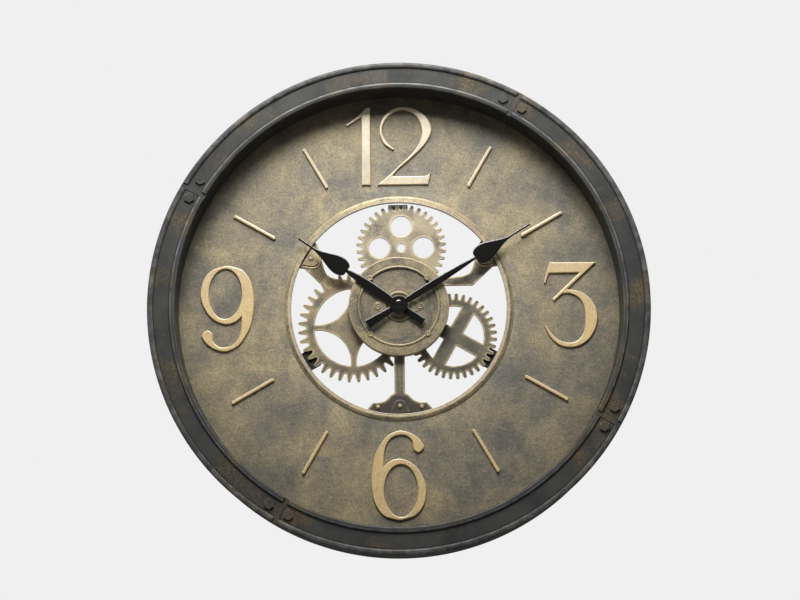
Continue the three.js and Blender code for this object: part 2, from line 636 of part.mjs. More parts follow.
const numeralSize = NUMERAL_HEIGHT / NUMERAL_DRAWN_HEIGHT;
function numeral(name, outline, centre, { turn = 0, counter = null } = {}) {
  const place = (list) => list.map((corner) => corner.rotateAround(v2(0, 0), rad(turn)).add(centre));
  const shape = polygon(place(strokes(outline, numeralSize)));
  if (counter) {
    const halves = v2(counter.halfWidth, counter.halfHeight);
    const ellipse = Array.from({ length: COUNTER_FACETS }, (_, i) => {
      const onCircle = atClock((-360 / COUNTER_FACETS) * i, 1);
      return onCircle.multiply(halves).add(v2(counter.x, counter.z));
    });
    shape.holes.push(new THREE.Path(place(ellipse.map((corner) => corner.multiplyScalar(numeralSize)))));
  }
  addPiece(name, plate(shape, DIAL_SEAT - NUMERAL_THICK, NUMERAL_THICK), paleGold);
}
const sideRadius = NUMERAL_RADIUS + SIDE_SHIFT;
numeral('numeral_12_one', oneOutline, v2(TWELVE_SHIFT, NUMERAL_RADIUS));
numeral('numeral_12_two', twoOutline, v2(TWELVE_SHIFT, NUMERAL_RADIUS));
numeral('numeral_3', threeOutline, v2(sideRadius, 0));
numeral('numeral_6', nineOutline, v2(SIX_SHIFT, -NUMERAL_RADIUS), { turn: 180, counter: nineCounter });
numeral('numeral_9', nineOutline, v2(-sideRadius, 0), { counter: nineCounter });

// Hour bars with round ends, at the hours that have no numeral

function hourBar(hour) {
  const half = BAR_WIDTH / 2;
  const middle = NUMERAL_RADIUS + BAR_SHIFT;
  const reach = BAR_LENGTH / 2 - half;
  const shape = new THREE.Shape();
  shape.absarc(0, middle + reach, half, 0, Math.PI, false);
  shape.absarc(0, middle - reach, half, Math.PI, 2 * Math.PI, false);
  const solid = plate(shape, DIAL_SEAT - BAR_THICK, BAR_THICK, 4);
  addPiece(`hour_bar_${hour}`, solid.rotate([0, 30 * hour, 0]), paleGold);
}
BAR_HOURS.forEach(hourBar);

// Struts from the hub out to the dial's opening

const footRadius = OPENING_RADIUS + FOOT_OVERLAP;
const archRadius = OPENING_RADIUS - ARCH_EDGE;
const rivet = (angle, inset) => {
  const at = atClock(angle, OPENING_RADIUS - inset);
  return dome(RIVET_RADIUS, RIVET_PROUD, STRUT_FRONT, at.x, at.y);
};

// Raised arch on a foot, drawn at six o'clock
function footArch(angle) {
  const shape = new THREE.Shape();
  const low = -archRadius + ARCH_EDGE;
  const high = -archRadius + ARCH_HEIGHT;
  const middle = (low + high) / 2;
  shape.moveTo(-ARCH_HALF, low);
  shape.bezierCurveTo(-ARCH_SWELL, middle, -ARCH_SWELL, high, 0, high);
  shape.bezierCurveTo(ARCH_SWELL, high, ARCH_SWELL, middle, ARCH_HALF, low);
  const raised = plate(shape, STRUT_FRONT - ARCH_THICK, ARCH_THICK + STRUT_THICK / 2, 4);
  return raised.rotate([0, angle - 180, 0]);
}
const insideOpening = ([distance, angle]) => atClock(angle, OPENING_RADIUS - distance);
const mirrored = (list) => list.map((p) => v2(-p.x, p.y)).reverse();
const footArc = (from, to, steps) => Array.from(
  { length: steps + 1 }, (_, i) => atClock(from + ((to - from) * i) / steps, footRadius),
);

const bottomHalf = [
  v2(STRUT_POST_HALF, -STRUT_INNER_RADIUS), v2(STRUT_POST_HALF, BOTTOM_POST_END - OPENING_RADIUS),
  ...BOTTOM_FOOT.map(insideOpening),
];
const bottomOutline = polygon([
  ...bottomHalf, ...footArc(BOTTOM_FOOT_END, 360 - BOTTOM_FOOT_END, 6), ...mirrored(bottomHalf),
]);
const bottomRivets = [
  rivet(180, BOTTOM_RIVET_INSET),
  rivet(180 - FOOT_RIVET_TURN, FOOT_RIVET_INSET),
  rivet(180 + FOOT_RIVET_TURN, FOOT_RIVET_INSET),
];
addPiece('strut_bottom', join([
  plate(bottomOutline, STRUT_FRONT, STRUT_THICK), footArch(180), ...bottomRivets,
]), brass);

const across = (radius, z) => Math.sqrt(radius ** 2 - z ** 2);
const sideInner = across(STRUT_INNER_RADIUS, ARM_LOW);
const sideOutline = [
  v2(sideInner, ARM_LOW), v2(across(OPENING_RADIUS - SIDE_ARM_END, ARM_LOW), ARM_LOW),
  ...SIDE_FOOT_LOWER.map(insideOpening), ...footArc(...SIDE_FOOT_ENDS, 4),
  ...SIDE_FOOT_UPPER.map(insideOpening), v2(SIDE_ROOT, ARM_HIGH), v2(sideInner, ARM_HIGH),
];
function sideStrut(name, blank, angle) {
  addPiece(name, join([blank, footArch(angle), rivet(angle, SIDE_RIVET_INSET)]), brass);
}
sideStrut('strut_right', plate(polygon(sideOutline), STRUT_FRONT, STRUT_THICK), SIDE_STRUT_AT);

// The left strut bends back beyond its foot and passes behind the left gear
const gearAxis = ({ angle, out }) => atClock(angle, HUB_RADIUS + out);
const armRun = sideOutline[1].clone().sub(sideOutline[2]).normalize().multiply(v2(-1, 1));
const bendDepth = TAB_FRONT - STRUT_FRONT;
const bendEnd = gearAxis(LEFT_GEAR).dot(armRun) - LEFT_GEAR.tip - SEAT_GAP;
const leftStrutAt = 360 - SIDE_STRUT_AT;
const archTip = atClock(leftStrutAt, archRadius - ARCH_HEIGHT);
const bendStart = Math.min(archTip.dot(armRun) + SEAT_GAP, bendEnd - bendDepth);
const sheetFront = [
  [-RIM_RADIUS, STRUT_FRONT], [bendStart, STRUT_FRONT], [bendEnd, TAB_FRONT], [RIM_RADIUS, TAB_FRONT],
];
const sheetBack = sheetFront.map(([along, depth]) => [along, depth + STRUT_THICK]).reverse();
const bentSheet = plate(polygon(points([...sheetFront, ...sheetBack])), -RIM_RADIUS, 2 * RIM_RADIUS)
  .rotate([-90, -THREE.MathUtils.radToDeg(armRun.angle()), 0]);
const leftBlank = bentSheet.intersect(plate(polygon(mirrored(sideOutline)), 0, RIM_DEPTH));
sideStrut('strut_left', leftBlank, leftStrutAt);

// Hub: outer ring with a deep wall, slotted for the struts, and the plate inside it

const beadFront = HUB_FRONT - HUB_BEAD_PROUD;
const beadOuter = HUB_RING_INNER + HUB_BEAD_WIDTH;
const beadMiddle = HUB_RING_INNER + HUB_BEAD_WIDTH / 2;
const hubRing = turned([
  [HUB_RING_INNER, HUB_FRONT + HUB_RING_THICK],
  [HUB_RING_INNER, HUB_FRONT],
  [HUB_RING_INNER + HUB_BEAD_WIDTH / 4, beadFront],
  [beadOuter - HUB_BEAD_WIDTH / 4, beadFront],
  [beadOuter, HUB_FRONT],
  [HUB_RADIUS - BEAD_CHAMFER, HUB_FRONT],
  [HUB_RADIUS, HUB_FRONT + BEAD_CHAMFER],
  [HUB_RADIUS, HUB_BACK],
  [HUB_INNER, HUB_BACK],
  [HUB_INNER, HUB_FRONT + HUB_RING_THICK],
], HUB_FACETS);
const hubRivets = Array.from({ length: HUB_RIVETS }, (_, i) => {
  const at = atClock((360 / HUB_RIVETS) * (i + 0.5), beadMiddle);
  return dome(HUB_RIVET_RADIUS, HUB_BEAD_PROUD, beadFront, at.x, at.y, 8);
});
const slotFront = STRUT_FRONT - SEAT_GAP;
const slotHalf = STRUT_POST_HALF + SEAT_GAP;
const slotBack = HUB_BACK + OVERSHOOT;
const slotOuter = HUB_RADIUS + OVERSHOOT;
const sideLow = ARM_LOW - SEAT_GAP;
const sideHigh = ARM_HIGH + SEAT_GAP;
const strutSlots = [
  block(-slotHalf, slotHalf, slotFront, slotBack, -slotOuter, -STRUT_INNER_RADIUS),
  block(sideInner, slotOuter, slotFront, slotBack, sideLow, sideHigh),
];
addPiece('hub_ring', cut(join([hubRing, ...hubRivets]), strutSlots), brass);

const bossInner = BOSS_RADIUS - BOSS_STEP;
const bossFront = HUB_PLATE_FRONT - BOSS_PROUD;
const hubPlateDisc = turned([
  [BUSH_RADIUS + SEAT_GAP, HUB_PLATE_FRONT],
  [bossInner, HUB_PLATE_FRONT],
  [bossInner + BOSS_STEP / 3, bossFront],
  [BOSS_RADIUS - BOSS_STEP / 3, bossFront],
  [BOSS_RADIUS, HUB_PLATE_FRONT],
  [HUB_INNER - SEAT_GAP, HUB_PLATE_FRONT],
  [HUB_INNER - SEAT_GAP, HUB_PLATE_BACK],
  [BUSH_RADIUS + SEAT_GAP, HUB_PLATE_BACK],
], HUB_FACETS);
function hubEar(side) {
  const wide = 2 * EAR_SCREW_RADIUS;
  const narrow = EAR_SCREW_RADIUS;
  const near = side * (bossInner + BOSS_STEP / 2);
  const far = side * EAR_CENTRE;
  const outline = points([[near, -wide], [far, -narrow], [far, narrow], [near, wide]]);
  const ear = plate(polygon(outline), HUB_PLATE_FRONT - EAR_THICK, EAR_THICK + HUB_PLATE_THICK / 2);
  return ear.add(dome(EAR_SCREW_RADIUS, 2 * EAR_THICK, HUB_PLATE_FRONT - EAR_THICK / 2, far, 0));
}
addPiece('hub_plate', join([hubPlateDisc, hubEar(-1), hubEar(1)]), brass);

// Movement: axes of the wheels

const pairDistance = (pair) => ((pair.pinion + pair.wheel) / 2) * pair.module;
const fromAxis = (axis, angle, distance) => atClock(angle, distance).add(axis);
const centreAxis = v2(0, 0);
const minuteAxis = fromAxis(centreAxis, MINUTE_WHEEL_AT, pairDistance(CANNON));
const settingDistance = ((CANNON.wheel + SETTING_TEETH) / 2) * CANNON.module;
const settingAxis = fromAxis(minuteAxis, SETTING_AT, settingDistance);
const thirdAxis = fromAxis(centreAxis, THIRD_AT, pairDistance(CENTRE));
const intermediateAxis = fromAxis(centreAxis, INTERMEDIATE_AT, pairDistance(SECONDS));
const rotorAxis = fromAxis(intermediateAxis, ROTOR_AT, pairDistance(STEP));
const hourModule = (2 * pairDistance(CANNON)) / (HOUR.pinion + HOUR.wheel);
const thirdModule = (2 * pairDistance(CENTRE)) / (THIRD.pinion + THIRD.wheel);
const level = (number) => CASE_INSIDE + FIRST_LEVEL + number * LEVEL_PITCH;
const levelBack = (number) => level(number) + WHEEL_THICK;
const gapTurn = (teeth) => 180 / teeth;

// Movement: inside and outside of the case

const coilZ = settingAxis.y + SHAFT_RADIUS + COIL_SPARE + COIL_RADIUS;
const innerSide = BATTERY_HALF + CONTACT_THICK + 2 * SEAT_GAP;
const innerLow = BATTERY_Z - BATTERY_RADIUS - SEAT_GAP;
const innerHigh = coilZ + COIL_RADIUS + SEAT_GAP;
const outerSide = innerSide + CASE_WALL;
const outerLow = innerLow - CASE_WALL;
const outerHigh = innerHigh + CASE_WALL;

// Decorative gears, fixed behind the hub and cut away round the movement

const caseCorner = Math.hypot(outerSide, Math.max(-outerLow, outerHigh));
const caseClearing = bore(caseCorner + SEAT_GAP, 0, RIM_DEPTH, 0, 0, HUB_FACETS);
function gearDisc(gear) {
  const axis = gearAxis(gear);
  const { tip, tooth, tipShare, rootShare } = gear;
  const root = tip - tooth;
  const corners = [[-rootShare, root], [-tipShare, tip], [tipShare, tip], [rootShare, root]];
  return toothedOutline(GEAR_TEETH, corners, gear.turn + 180 / GEAR_TEETH, axis.x, axis.y);
}

// Room that a gear's neighbours leave for its teeth
function gearClearing(gear) {
  const axis = gearAxis(gear);
  return rod(gear.tip + SEAT_GAP, 0, RIM_DEPTH, axis.x, axis.y, GEAR_FACETS);
}

const topAxis = gearAxis(TOP_GEAR);
const topShape = gearDisc(TOP_GEAR);
topShape.holes.push(circle(TOP_GEAR_BORE, topAxis.x, topAxis.y, BUSH_FACETS));
for (const angle of TOP_GEAR_HOLES_AT) {
  const at = atClock(angle, TOP_GEAR_HOLE_PITCH).add(topAxis);
  topShape.holes.push(circle(TOP_GEAR_HOLE, at.x, at.y));
}
const topGear = plate(topShape, GEAR_FRONT, GEAR_THICK).subtract(caseClearing);
addPiece('gear_top', topGear, brass);

const leftAxis = gearAxis(LEFT_GEAR);
const leftDisc = plate(gearDisc(LEFT_GEAR), GEAR_FRONT, GEAR_THICK);
const leftOpening = LEFT_GEAR.tip - LEFT_GEAR.tooth - LEFT_GEAR_RIM;
const leftRound = rod(leftOpening, 0, RIM_DEPTH, leftAxis.x, leftAxis.y, GEAR_FACETS);
const lenses = LEFT_GEAR_LENSES_AT.map((angle) => {
  const at = atClock(angle, LEFT_GEAR_LENS_PITCH).add(leftAxis);
  return leftRound.intersect(rod(LEFT_GEAR_LENS_RADIUS, 0, RIM_DEPTH, at.x, at.y, GEAR_FACETS));
});
addPiece('gear_left', cut(leftDisc, [...lenses, caseClearing, gearClearing(TOP_GEAR)]), brass);

const rightAxis = gearAxis(RIGHT_GEAR);
const rightDisc = plate(gearDisc(RIGHT_GEAR), GEAR_FRONT, GEAR_THICK);
const rightOpening = RIGHT_GEAR.tip - RIGHT_GEAR.tooth - RIGHT_GEAR_RIM;
const rightRound = rod(rightOpening, 0, RIM_DEPTH, 0, 0, GEAR_FACETS);
const spokeHalf = RIGHT_GEAR_SPOKE / 2;
const spokes = join([
  block(-RIM_RADIUS, RIM_RADIUS, 0, RIM_DEPTH, -spokeHalf, spokeHalf),
  block(-spokeHalf, spokeHalf, 0, RIM_DEPTH, -RIM_RADIUS, RIM_RADIUS),
]);
const rightOpenings = rightRound.subtract(spokes).rotate([0, RIGHT_GEAR.turn, 0]);
const rightNeighbours = [caseClearing, gearClearing(TOP_GEAR), gearClearing(LEFT_GEAR)];
addPiece('gear_right', cut(rightDisc, [
  rightOpenings.translate([rightAxis.x, 0, rightAxis.y]), ...rightNeighbours,
]), brass);

// Tabs behind the gears; the two lower ones step forward to the back of the dial

const tabBack = TAB_FRONT + TAB_THICK;
const tabInner = OPENING_RADIUS - TAB_LENGTH;
const tabHalf = TAB_WIDTH / 2;
const tabStrip = (outer) => block(-tabHalf, tabHalf, TAB_FRONT, tabBack, tabInner, outer);
function steppedTab(name, angle, gear) {
  const toothReach = gearAxis(gear).length() + gear.tip;
  const step = Math.max(dialInner, toothReach + SEAT_GAP);
  const outer = step + TAB_THICK;
  const riser = block(-tabHalf, tabHalf, STRUT_FRONT, tabBack, step, outer);
  const foot = block(-tabHalf, tabHalf, STRUT_FRONT, STRUT_FRONT + TAB_THICK, step, outer + TAB_FOOT);
  addPiece(name, join([tabStrip(outer), riser, foot]).rotate([0, angle, 0]), darkIron);
}
addPiece('gear_tab_top', tabStrip(OPENING_RADIUS), darkIron);
steppedTab('gear_tab_right', RIGHT_TAB_AT, RIGHT_GEAR);
steppedTab('gear_tab_left', LEFT_TAB_AT, LEFT_GEAR);

// Spade hands with tails, and the cap on the end of the minute arbor

function handOutline({ tip, spade, swell, tail, point, lobe, neck, arm, root, tailHalf }) {
  const boss = HAND_BOSS_RADIUS;
  const widest = spade + SPADE_WIDEST * lobe;
  const taperEnd = widest + SPADE_TAPER * lobe;
  const side = new THREE.Path();
  side.moveTo(tailHalf, -tail);
  side.lineTo(root, -boss);
  side.bezierCurveTo(boss, -boss / 2, boss, boss / 2, root, boss);
  side.quadraticCurveTo(arm, (boss + swell) / 2, arm, swell);
  side.quadraticCurveTo(arm, (swell + spade) / 2, neck, spade);
  side.bezierCurveTo(0.7 * lobe, spade - 0.15 * lobe, lobe, spade + 0.45 * lobe, lobe, widest);
  side.bezierCurveTo(lobe, widest + lobe, 1.2 * point, widest + 2.2 * lobe, point, taperEnd);
  side.lineTo(point, tip);
  const right = side.getPoints(HAND_FACETS);
  return polygon([...right, ...mirrored(right)]);
}
function hand(size, front, holeRadius, angle) {
  const blank = plate(handOutline(size), front, HAND_THICK);
  const hole = bore(holeRadius + PUSH_GAP, 0, RIM_DEPTH);
  return blank.subtract(hole).rotate([0, angle, 0]);
}
addPiece('minute_hand', hand(MINUTE_HAND, MINUTE_HAND_FRONT, ARBOR_RADIUS, MINUTE_HAND_ANGLE), blackPaint);
addPiece('hour_hand', hand(HOUR_HAND, HOUR_HAND_FRONT, PIPE_RADIUS, HOUR_HAND_ANGLE), blackPaint);

const capTop = CAP_BACK - CAP_HEIGHT;
const capBoreFront = CAP_BACK - CAP_HEIGHT / 2;
const capProfile = [[0, capTop]];
for (const turn of CAP_TURNS) {
  capProfile.push([CAP_RADIUS * Math.sin(rad(turn)), CAP_BACK - CAP_HEIGHT * Math.cos(rad(turn))]);
}
const capBlank = turned([...capProfile, [0, CAP_BACK]], 24);
const capBore = bore(ARBOR_RADIUS + PUSH_GAP, capBoreFront, CAP_BACK + OVERSHOOT);
addPiece('hand_cap', capBlank.subtract(capBore), blackPaint);

// Movement: case front with its bush, walls, partition, bearings and stud

const wallBack = LID_FRONT - SEAT_GAP;
const partitionLow = BATTERY_Z + BATTERY_RADIUS + SEAT_GAP;
const pivotAxes = [thirdAxis, intermediateAxis, rotorAxis];
const frontPivotEnd = CASE_INSIDE - PIVOT_ENTRY;
const bearing = (axis, front, back) => bore(
  PIVOT_RADIUS + RUN_GAP, front, back, axis.x, axis.y, PIVOT_FACETS,
);
const frontBearings = pivotAxes.map(
  (axis) => bearing(axis, frontPivotEnd - PIVOT_SPARE, CASE_INSIDE + OVERSHOOT),
);
const caseBox = block(-outerSide, outerSide, CASE_FRONT, wallBack, outerLow, outerHigh);
const caseInner = block(-innerSide, innerSide, CASE_INSIDE, CASE_BACK, innerLow, innerHigh);
const partition = block(
  -innerSide - OVERSHOOT, innerSide + OVERSHOOT, CASE_INSIDE - OVERSHOOT, wallBack,
  partitionLow, partitionLow + PARTITION,
);
const studFront = CASE_INSIDE - OVERSHOOT;
const studBack = levelBack(1) + SEAT_GAP;
const minuteStud = rod(STUD_RADIUS, studFront, studBack, minuteAxis.x, minuteAxis.y, PIVOT_FACETS);
const bush = rod(BUSH_RADIUS, BUSH_FRONT, CASE_FRONT + OVERSHOOT, 0, 0, BUSH_FACETS);
const bushBore = bore(PIPE_RADIUS + RUN_GAP, 0, CASE_INSIDE + OVERSHOOT, 0, 0, BUSH_FACETS);
const frontShell = join([caseBox.subtract(caseInner), partition, minuteStud, bush]);
addPiece('movement_front_case', cut(frontShell, [bushBore, ...frontBearings]), blackPlastic);

const nutHole = BUSH_RADIUS + PUSH_GAP;
const nutBlank = hexagon(2 * (nutHole + NUT_WALL), NUT_FRONT, NUT_THICK);
addPiece('movement_nut', nutBlank.subtract(bore(nutHole, 0, RIM_DEPTH, 0, 0, BUSH_FACETS)), steel);

// Movement: back case with the battery opening and the rear bearings

const backPivotEnd = LID_FRONT + PIVOT_ENTRY;
const cutFront = LID_FRONT - OVERSHOOT;
const cutBack = CASE_BACK + OVERSHOOT;
const backBearings = [centreAxis, ...pivotAxes].map(
  (axis) => bearing(axis, cutFront, backPivotEnd + PIVOT_SPARE),
);
const windowSide = BATTERY_HALF + SEAT_GAP;
const windowLow = BATTERY_Z - BATTERY_RADIUS - SEAT_GAP / 2;
const batteryWindow = block(-windowSide, windowSide, cutFront, cutBack, windowLow, partitionLow);
const shaftHole = bore(SHAFT_RADIUS + RUN_GAP, cutFront, cutBack, settingAxis.x, settingAxis.y);
const lid = block(-outerSide, outerSide, LID_FRONT, CASE_BACK, outerLow, outerHigh);
addPiece('movement_back_case', cut(lid, [batteryWindow, shaftHole, ...backBearings]), blackPlastic);

// Battery and its contacts, made with a turned solid along X, of a profile of [radius, x]
function lying(profile, facets, depth, z) {
  const geometry = new THREE.LatheGeometry(points(profile), facets);
  return toSolid(geometry.rotateZ(-Math.PI / 2).translate(0, depth, z));
}
const batteryShoulder = BATTERY_HALF - BATTERY_NUB;
addPiece('battery', lying([
  [0, -BATTERY_HALF], [BATTERY_RADIUS, -BATTERY_HALF], [BATTERY_RADIUS, batteryShoulder],
  [BATTERY_NUB_RADIUS, batteryShoulder], [BATTERY_NUB_RADIUS, BATTERY_HALF], [0, BATTERY_HALF],
], BATTERY_FACETS, BATTERY_DEPTH, BATTERY_Z), cellWrap);

function contact(name, from, to) {
  const solid = block(
    from, to, BATTERY_DEPTH - CONTACT_HALF, BATTERY_DEPTH + CONTACT_HALF,
    BATTERY_Z - CONTACT_HALF, BATTERY_Z + CONTACT_HALF,
  );
  addPiece(name, solid, steel);
}
const contactInner = BATTERY_HALF + SEAT_GAP;
contact('battery_contact_positive', contactInner, contactInner + CONTACT_THICK);
contact('battery_contact_negative', -contactInner - CONTACT_THICK, -contactInner);

// Motion work: minute arbor, minute wheel, hour wheel and setting knob

const arborBack = levelBack(2) + SEAT_GAP;
const arborTip = (capBoreFront + CAP_BACK) / 2;
const socketFront = arborBack - PIVOT_ENTRY - PIVOT_SPARE;
const secondsSocket = bearing(centreAxis, socketFront, arborBack + OVERSHOOT);
const wheelAt = (axis, teeth, module, phase) => ({ teeth, module, phase, x: axis.x, z: axis.y });
const cannonPinion = wheelAt(centreAxis, CANNON.pinion, CANNON.module, MINUTE_WHEEL_AT);
addPiece('minute_arbor', join([
  rod(ARBOR_RADIUS, arborTip, arborBack), toothed(cannonPinion, level(1)),
]).subtract(secondsSocket), brightBrass);

const pinionThick = LEVEL_PITCH + WHEEL_THICK / 2; // a pinion runs on into the wheel behind it
const minuteWheelPhase = MINUTE_WHEEL_AT + 180 + gapTurn(CANNON.wheel);
const minuteWheel = wheelAt(minuteAxis, CANNON.wheel, CANNON.module, minuteWheelPhase);
const minutePinion = wheelAt(minuteAxis, HOUR.pinion, hourModule, MINUTE_WHEEL_AT + 180);
const studBore = bore(STUD_RADIUS + RUN_GAP, 0, RIM_DEPTH, minuteAxis.x, minuteAxis.y, PIVOT_FACETS);
addPiece('minute_wheel', join([
  toothed(minuteWheel, level(1)), toothed(minutePinion, level(0), pinionThick),
]).subtract(studBore), whitePlastic);

const hourWheel = wheelAt(centreAxis, HOUR.wheel, hourModule, MINUTE_WHEEL_AT + gapTurn(HOUR.wheel));
const pipe = rod(PIPE_RADIUS, HOUR_HAND_FRONT, level(0) + WHEEL_THICK / 2);
const arborBore = bore(ARBOR_RADIUS + RUN_GAP, 0, RIM_DEPTH);
addPiece('hour_wheel', join([toothed(hourWheel, level(0)), pipe]).subtract(arborBore), whitePlastic);

// The setting pinion's gap faces the minute wheel's nearest tooth
const wheelPitch = 360 / CANNON.wheel;
const fromSetting = minuteWheelPhase - SETTING_AT;
const toothOffset = fromSetting - wheelPitch * Math.round(fromSetting / wheelPitch);
const settingTurn = toothOffset * (CANNON.wheel / SETTING_TEETH);
const settingPhase = SETTING_AT + 180 + gapTurn(SETTING_TEETH) - settingTurn;
const settingPinion = wheelAt(settingAxis, SETTING_TEETH, CANNON.module, settingPhase);
const knobFront = CASE_BACK + SEAT_GAP;
const fluteCorners = [[-0.5, KNOB_RADIUS], [0.5, KNOB_RADIUS], [1, KNOB_RADIUS - KNOB_FLUTE_DEPTH]];
const knobOutline = toothedOutline(KNOB_FLUTES, fluteCorners, 0, settingAxis.x, settingAxis.y);
addPiece('setting_knob', join([
  toothed(settingPinion, level(1)),
  rod(SHAFT_RADIUS, level(1), knobFront + KNOB_THICK / 2, settingAxis.x, settingAxis.y),
  plate(knobOutline, knobFront, KNOB_THICK),
]), whitePlastic);

// Going train: centre wheel, third wheel, seconds wheel, intermediate wheel and rotor

const centreWheel = wheelAt(centreAxis, CENTRE.wheel, CENTRE.module, THIRD_AT);
addPiece('centre_wheel', toothed(centreWheel, level(2)).subtract(arborBore), brightBrass);

const pivotRod = (axis, front) => rod(PIVOT_RADIUS, front, backPivotEnd, axis.x, axis.y, PIVOT_FACETS);
const thirdPinionPhase = THIRD_AT + 180 + gapTurn(CENTRE.pinion);
const thirdPinion = wheelAt(thirdAxis, CENTRE.pinion, CENTRE.module, thirdPinionPhase);
const thirdWheel = wheelAt(thirdAxis, THIRD.wheel, thirdModule, THIRD_AT + 180);
addPiece('third_wheel', join([
  toothed(thirdPinion, level(2), pinionThick), toothed(thirdWheel, level(3)),
  pivotRod(thirdAxis, frontPivotEnd),
]), brightBrass);

const secondsPinion = wheelAt(centreAxis, THIRD.pinion, thirdModule, THIRD_AT + gapTurn(THIRD.pinion));
const secondsWheel = wheelAt(centreAxis, SECONDS.wheel, SECONDS.module, INTERMEDIATE_AT);
addPiece('seconds_wheel', join([
  toothed(secondsPinion, level(3), pinionThick), toothed(secondsWheel, level(4)),
  pivotRod(centreAxis, arborBack - PIVOT_ENTRY),
]), whitePlastic);

const stepPinionPhase = INTERMEDIATE_AT + 180 + gapTurn(SECONDS.pinion);
const stepPinion = wheelAt(intermediateAxis, SECONDS.pinion, SECONDS.module, stepPinionPhase);
const stepWheel = wheelAt(intermediateAxis, STEP.wheel, STEP.module, ROTOR_AT);
addPiece('intermediate_wheel', join([
  toothed(stepPinion, level(4), pinionThick), toothed(stepWheel, level(LAST_LEVEL)),
  pivotRod(intermediateAxis, frontPivotEnd),
]), whitePlastic);

const rotorPhase = ROTOR_AT + 180 + gapTurn(STEP.pinion);
const rotorPinion = wheelAt(rotorAxis, STEP.pinion, STEP.module, rotorPhase);
const magnetFront = levelBack(LAST_LEVEL) + SEAT_GAP;
const magnetBack = magnetFront + ROTOR_THICK;
addPiece('rotor', join([
  toothed(rotorPinion, level(LAST_LEVEL), WHEEL_THICK + SEAT_GAP + ROTOR_THICK / 2),
  rod(ROTOR_RADIUS, magnetFront, magnetBack, rotorAxis.x, rotorAxis.y),
  pivotRod(rotorAxis, frontPivotEnd),
]), steel);

// Drive coil, stator and circuit board

const statorHole = ROTOR_RADIUS + STATOR_AIR;
const statorHalf = statorHole + STATOR_RIM;
const statorLeft = rotorAxis.x - statorHalf;
const statorRight = rotorAxis.x + statorHalf;
const statorLow = rotorAxis.y - statorHalf;
const statorHigh = coilZ + COIL_RADIUS;
const statorShape = polygon(points([
  [statorLeft, statorLow], [statorRight, statorLow], [statorRight, statorHigh], [statorLeft, statorHigh],
]));
statorShape.holes.push(circle(statorHole, rotorAxis.x, rotorAxis.y, BUSH_FACETS));
const statorFront = (magnetFront + magnetBack - STATOR_THICK) / 2;
addPiece('stator', plate(statorShape, statorFront, STATOR_THICK), steel);

const coilDepth = wallBack - COIL_RADIUS;
const coilFrom = statorRight + 2 * SEAT_GAP;
const coilTo = coilFrom + COIL_LENGTH;
const windingRadius = COIL_RADIUS - COIL_STEP;
addPiece('drive_coil', lying([
  [0, coilFrom], [COIL_RADIUS, coilFrom], [COIL_RADIUS, coilFrom + COIL_FLANGE],
  [windingRadius, coilFrom + COIL_FLANGE], [windingRadius, coilTo - COIL_FLANGE],
  [COIL_RADIUS, coilTo - COIL_FLANGE], [COIL_RADIUS, coilTo], [0, coilTo],
], BUSH_FACETS, coilDepth, coilZ), copper);

const boardHigh = coilZ - COIL_RADIUS - SEAT_GAP;
const boardLeft = settingAxis.x + SHAFT_RADIUS + BOARD_SPARE;
const boardLow = thirdAxis.y + PIVOT_RADIUS + BOARD_RISE;
addPiece('circuit_board', block(
  boardLeft, innerSide - SEAT_GAP, wallBack - BOARD_THICK, wallBack, boardLow, boardHigh,
), boardGreen);

export default clock;
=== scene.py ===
from math import atan2, ceil, cos, degrees, hypot, pi, radians, sin

import bmesh
import bpy
import numpy as np
from mathutils import Matrix, Vector
from mathutils.geometry import delaunay_2d_cdt
from numpy.linalg import norm


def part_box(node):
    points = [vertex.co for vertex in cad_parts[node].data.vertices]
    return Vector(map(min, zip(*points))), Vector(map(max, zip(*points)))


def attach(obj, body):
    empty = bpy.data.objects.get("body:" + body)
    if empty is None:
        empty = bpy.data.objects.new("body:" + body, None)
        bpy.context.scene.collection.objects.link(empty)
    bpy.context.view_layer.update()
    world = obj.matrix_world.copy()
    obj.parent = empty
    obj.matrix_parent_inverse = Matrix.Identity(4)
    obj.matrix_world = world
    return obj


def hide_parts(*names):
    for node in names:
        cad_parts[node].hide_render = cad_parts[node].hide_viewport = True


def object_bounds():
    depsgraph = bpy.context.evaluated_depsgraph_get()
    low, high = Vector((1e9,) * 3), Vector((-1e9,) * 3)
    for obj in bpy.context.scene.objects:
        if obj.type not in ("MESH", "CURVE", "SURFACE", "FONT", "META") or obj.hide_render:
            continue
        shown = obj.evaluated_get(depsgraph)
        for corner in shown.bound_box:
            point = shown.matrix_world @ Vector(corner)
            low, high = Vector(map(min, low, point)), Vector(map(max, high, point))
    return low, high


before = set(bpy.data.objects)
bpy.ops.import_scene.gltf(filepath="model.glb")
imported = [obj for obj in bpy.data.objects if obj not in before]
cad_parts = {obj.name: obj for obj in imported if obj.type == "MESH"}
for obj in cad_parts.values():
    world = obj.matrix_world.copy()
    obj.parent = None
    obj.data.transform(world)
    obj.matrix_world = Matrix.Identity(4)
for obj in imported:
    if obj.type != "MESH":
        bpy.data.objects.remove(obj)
cad_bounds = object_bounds()

# Lengths below are millimetres. A depth runs from the front of the rim towards the wall
MM = 0.001
FRONT = cad_bounds[0].y


def at(x, depth, z):
    return (x * MM, FRONT + depth * MM, z * MM)


def clock(angle, radius):
    """Place at a clock angle in degrees, clockwise from twelve"""
    turn = radians(angle)
    return radius * sin(turn), radius * cos(turn)


def depths(node):
    """Front and back depth of a CAD node"""
    low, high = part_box(node)
    return (low[1] - FRONT) / MM, (high[1] - FRONT) / MM


DIAL_FRONT, DIAL_BACK = depths("dial_plate")

# Outlines

def cross(a, b):
    return a[..., 0] * b[..., 1] - a[..., 1] * b[..., 0]


def area(loop):
    return 0.5 * float(np.sum(cross(loop, np.roll(loop, -1, axis=0))))


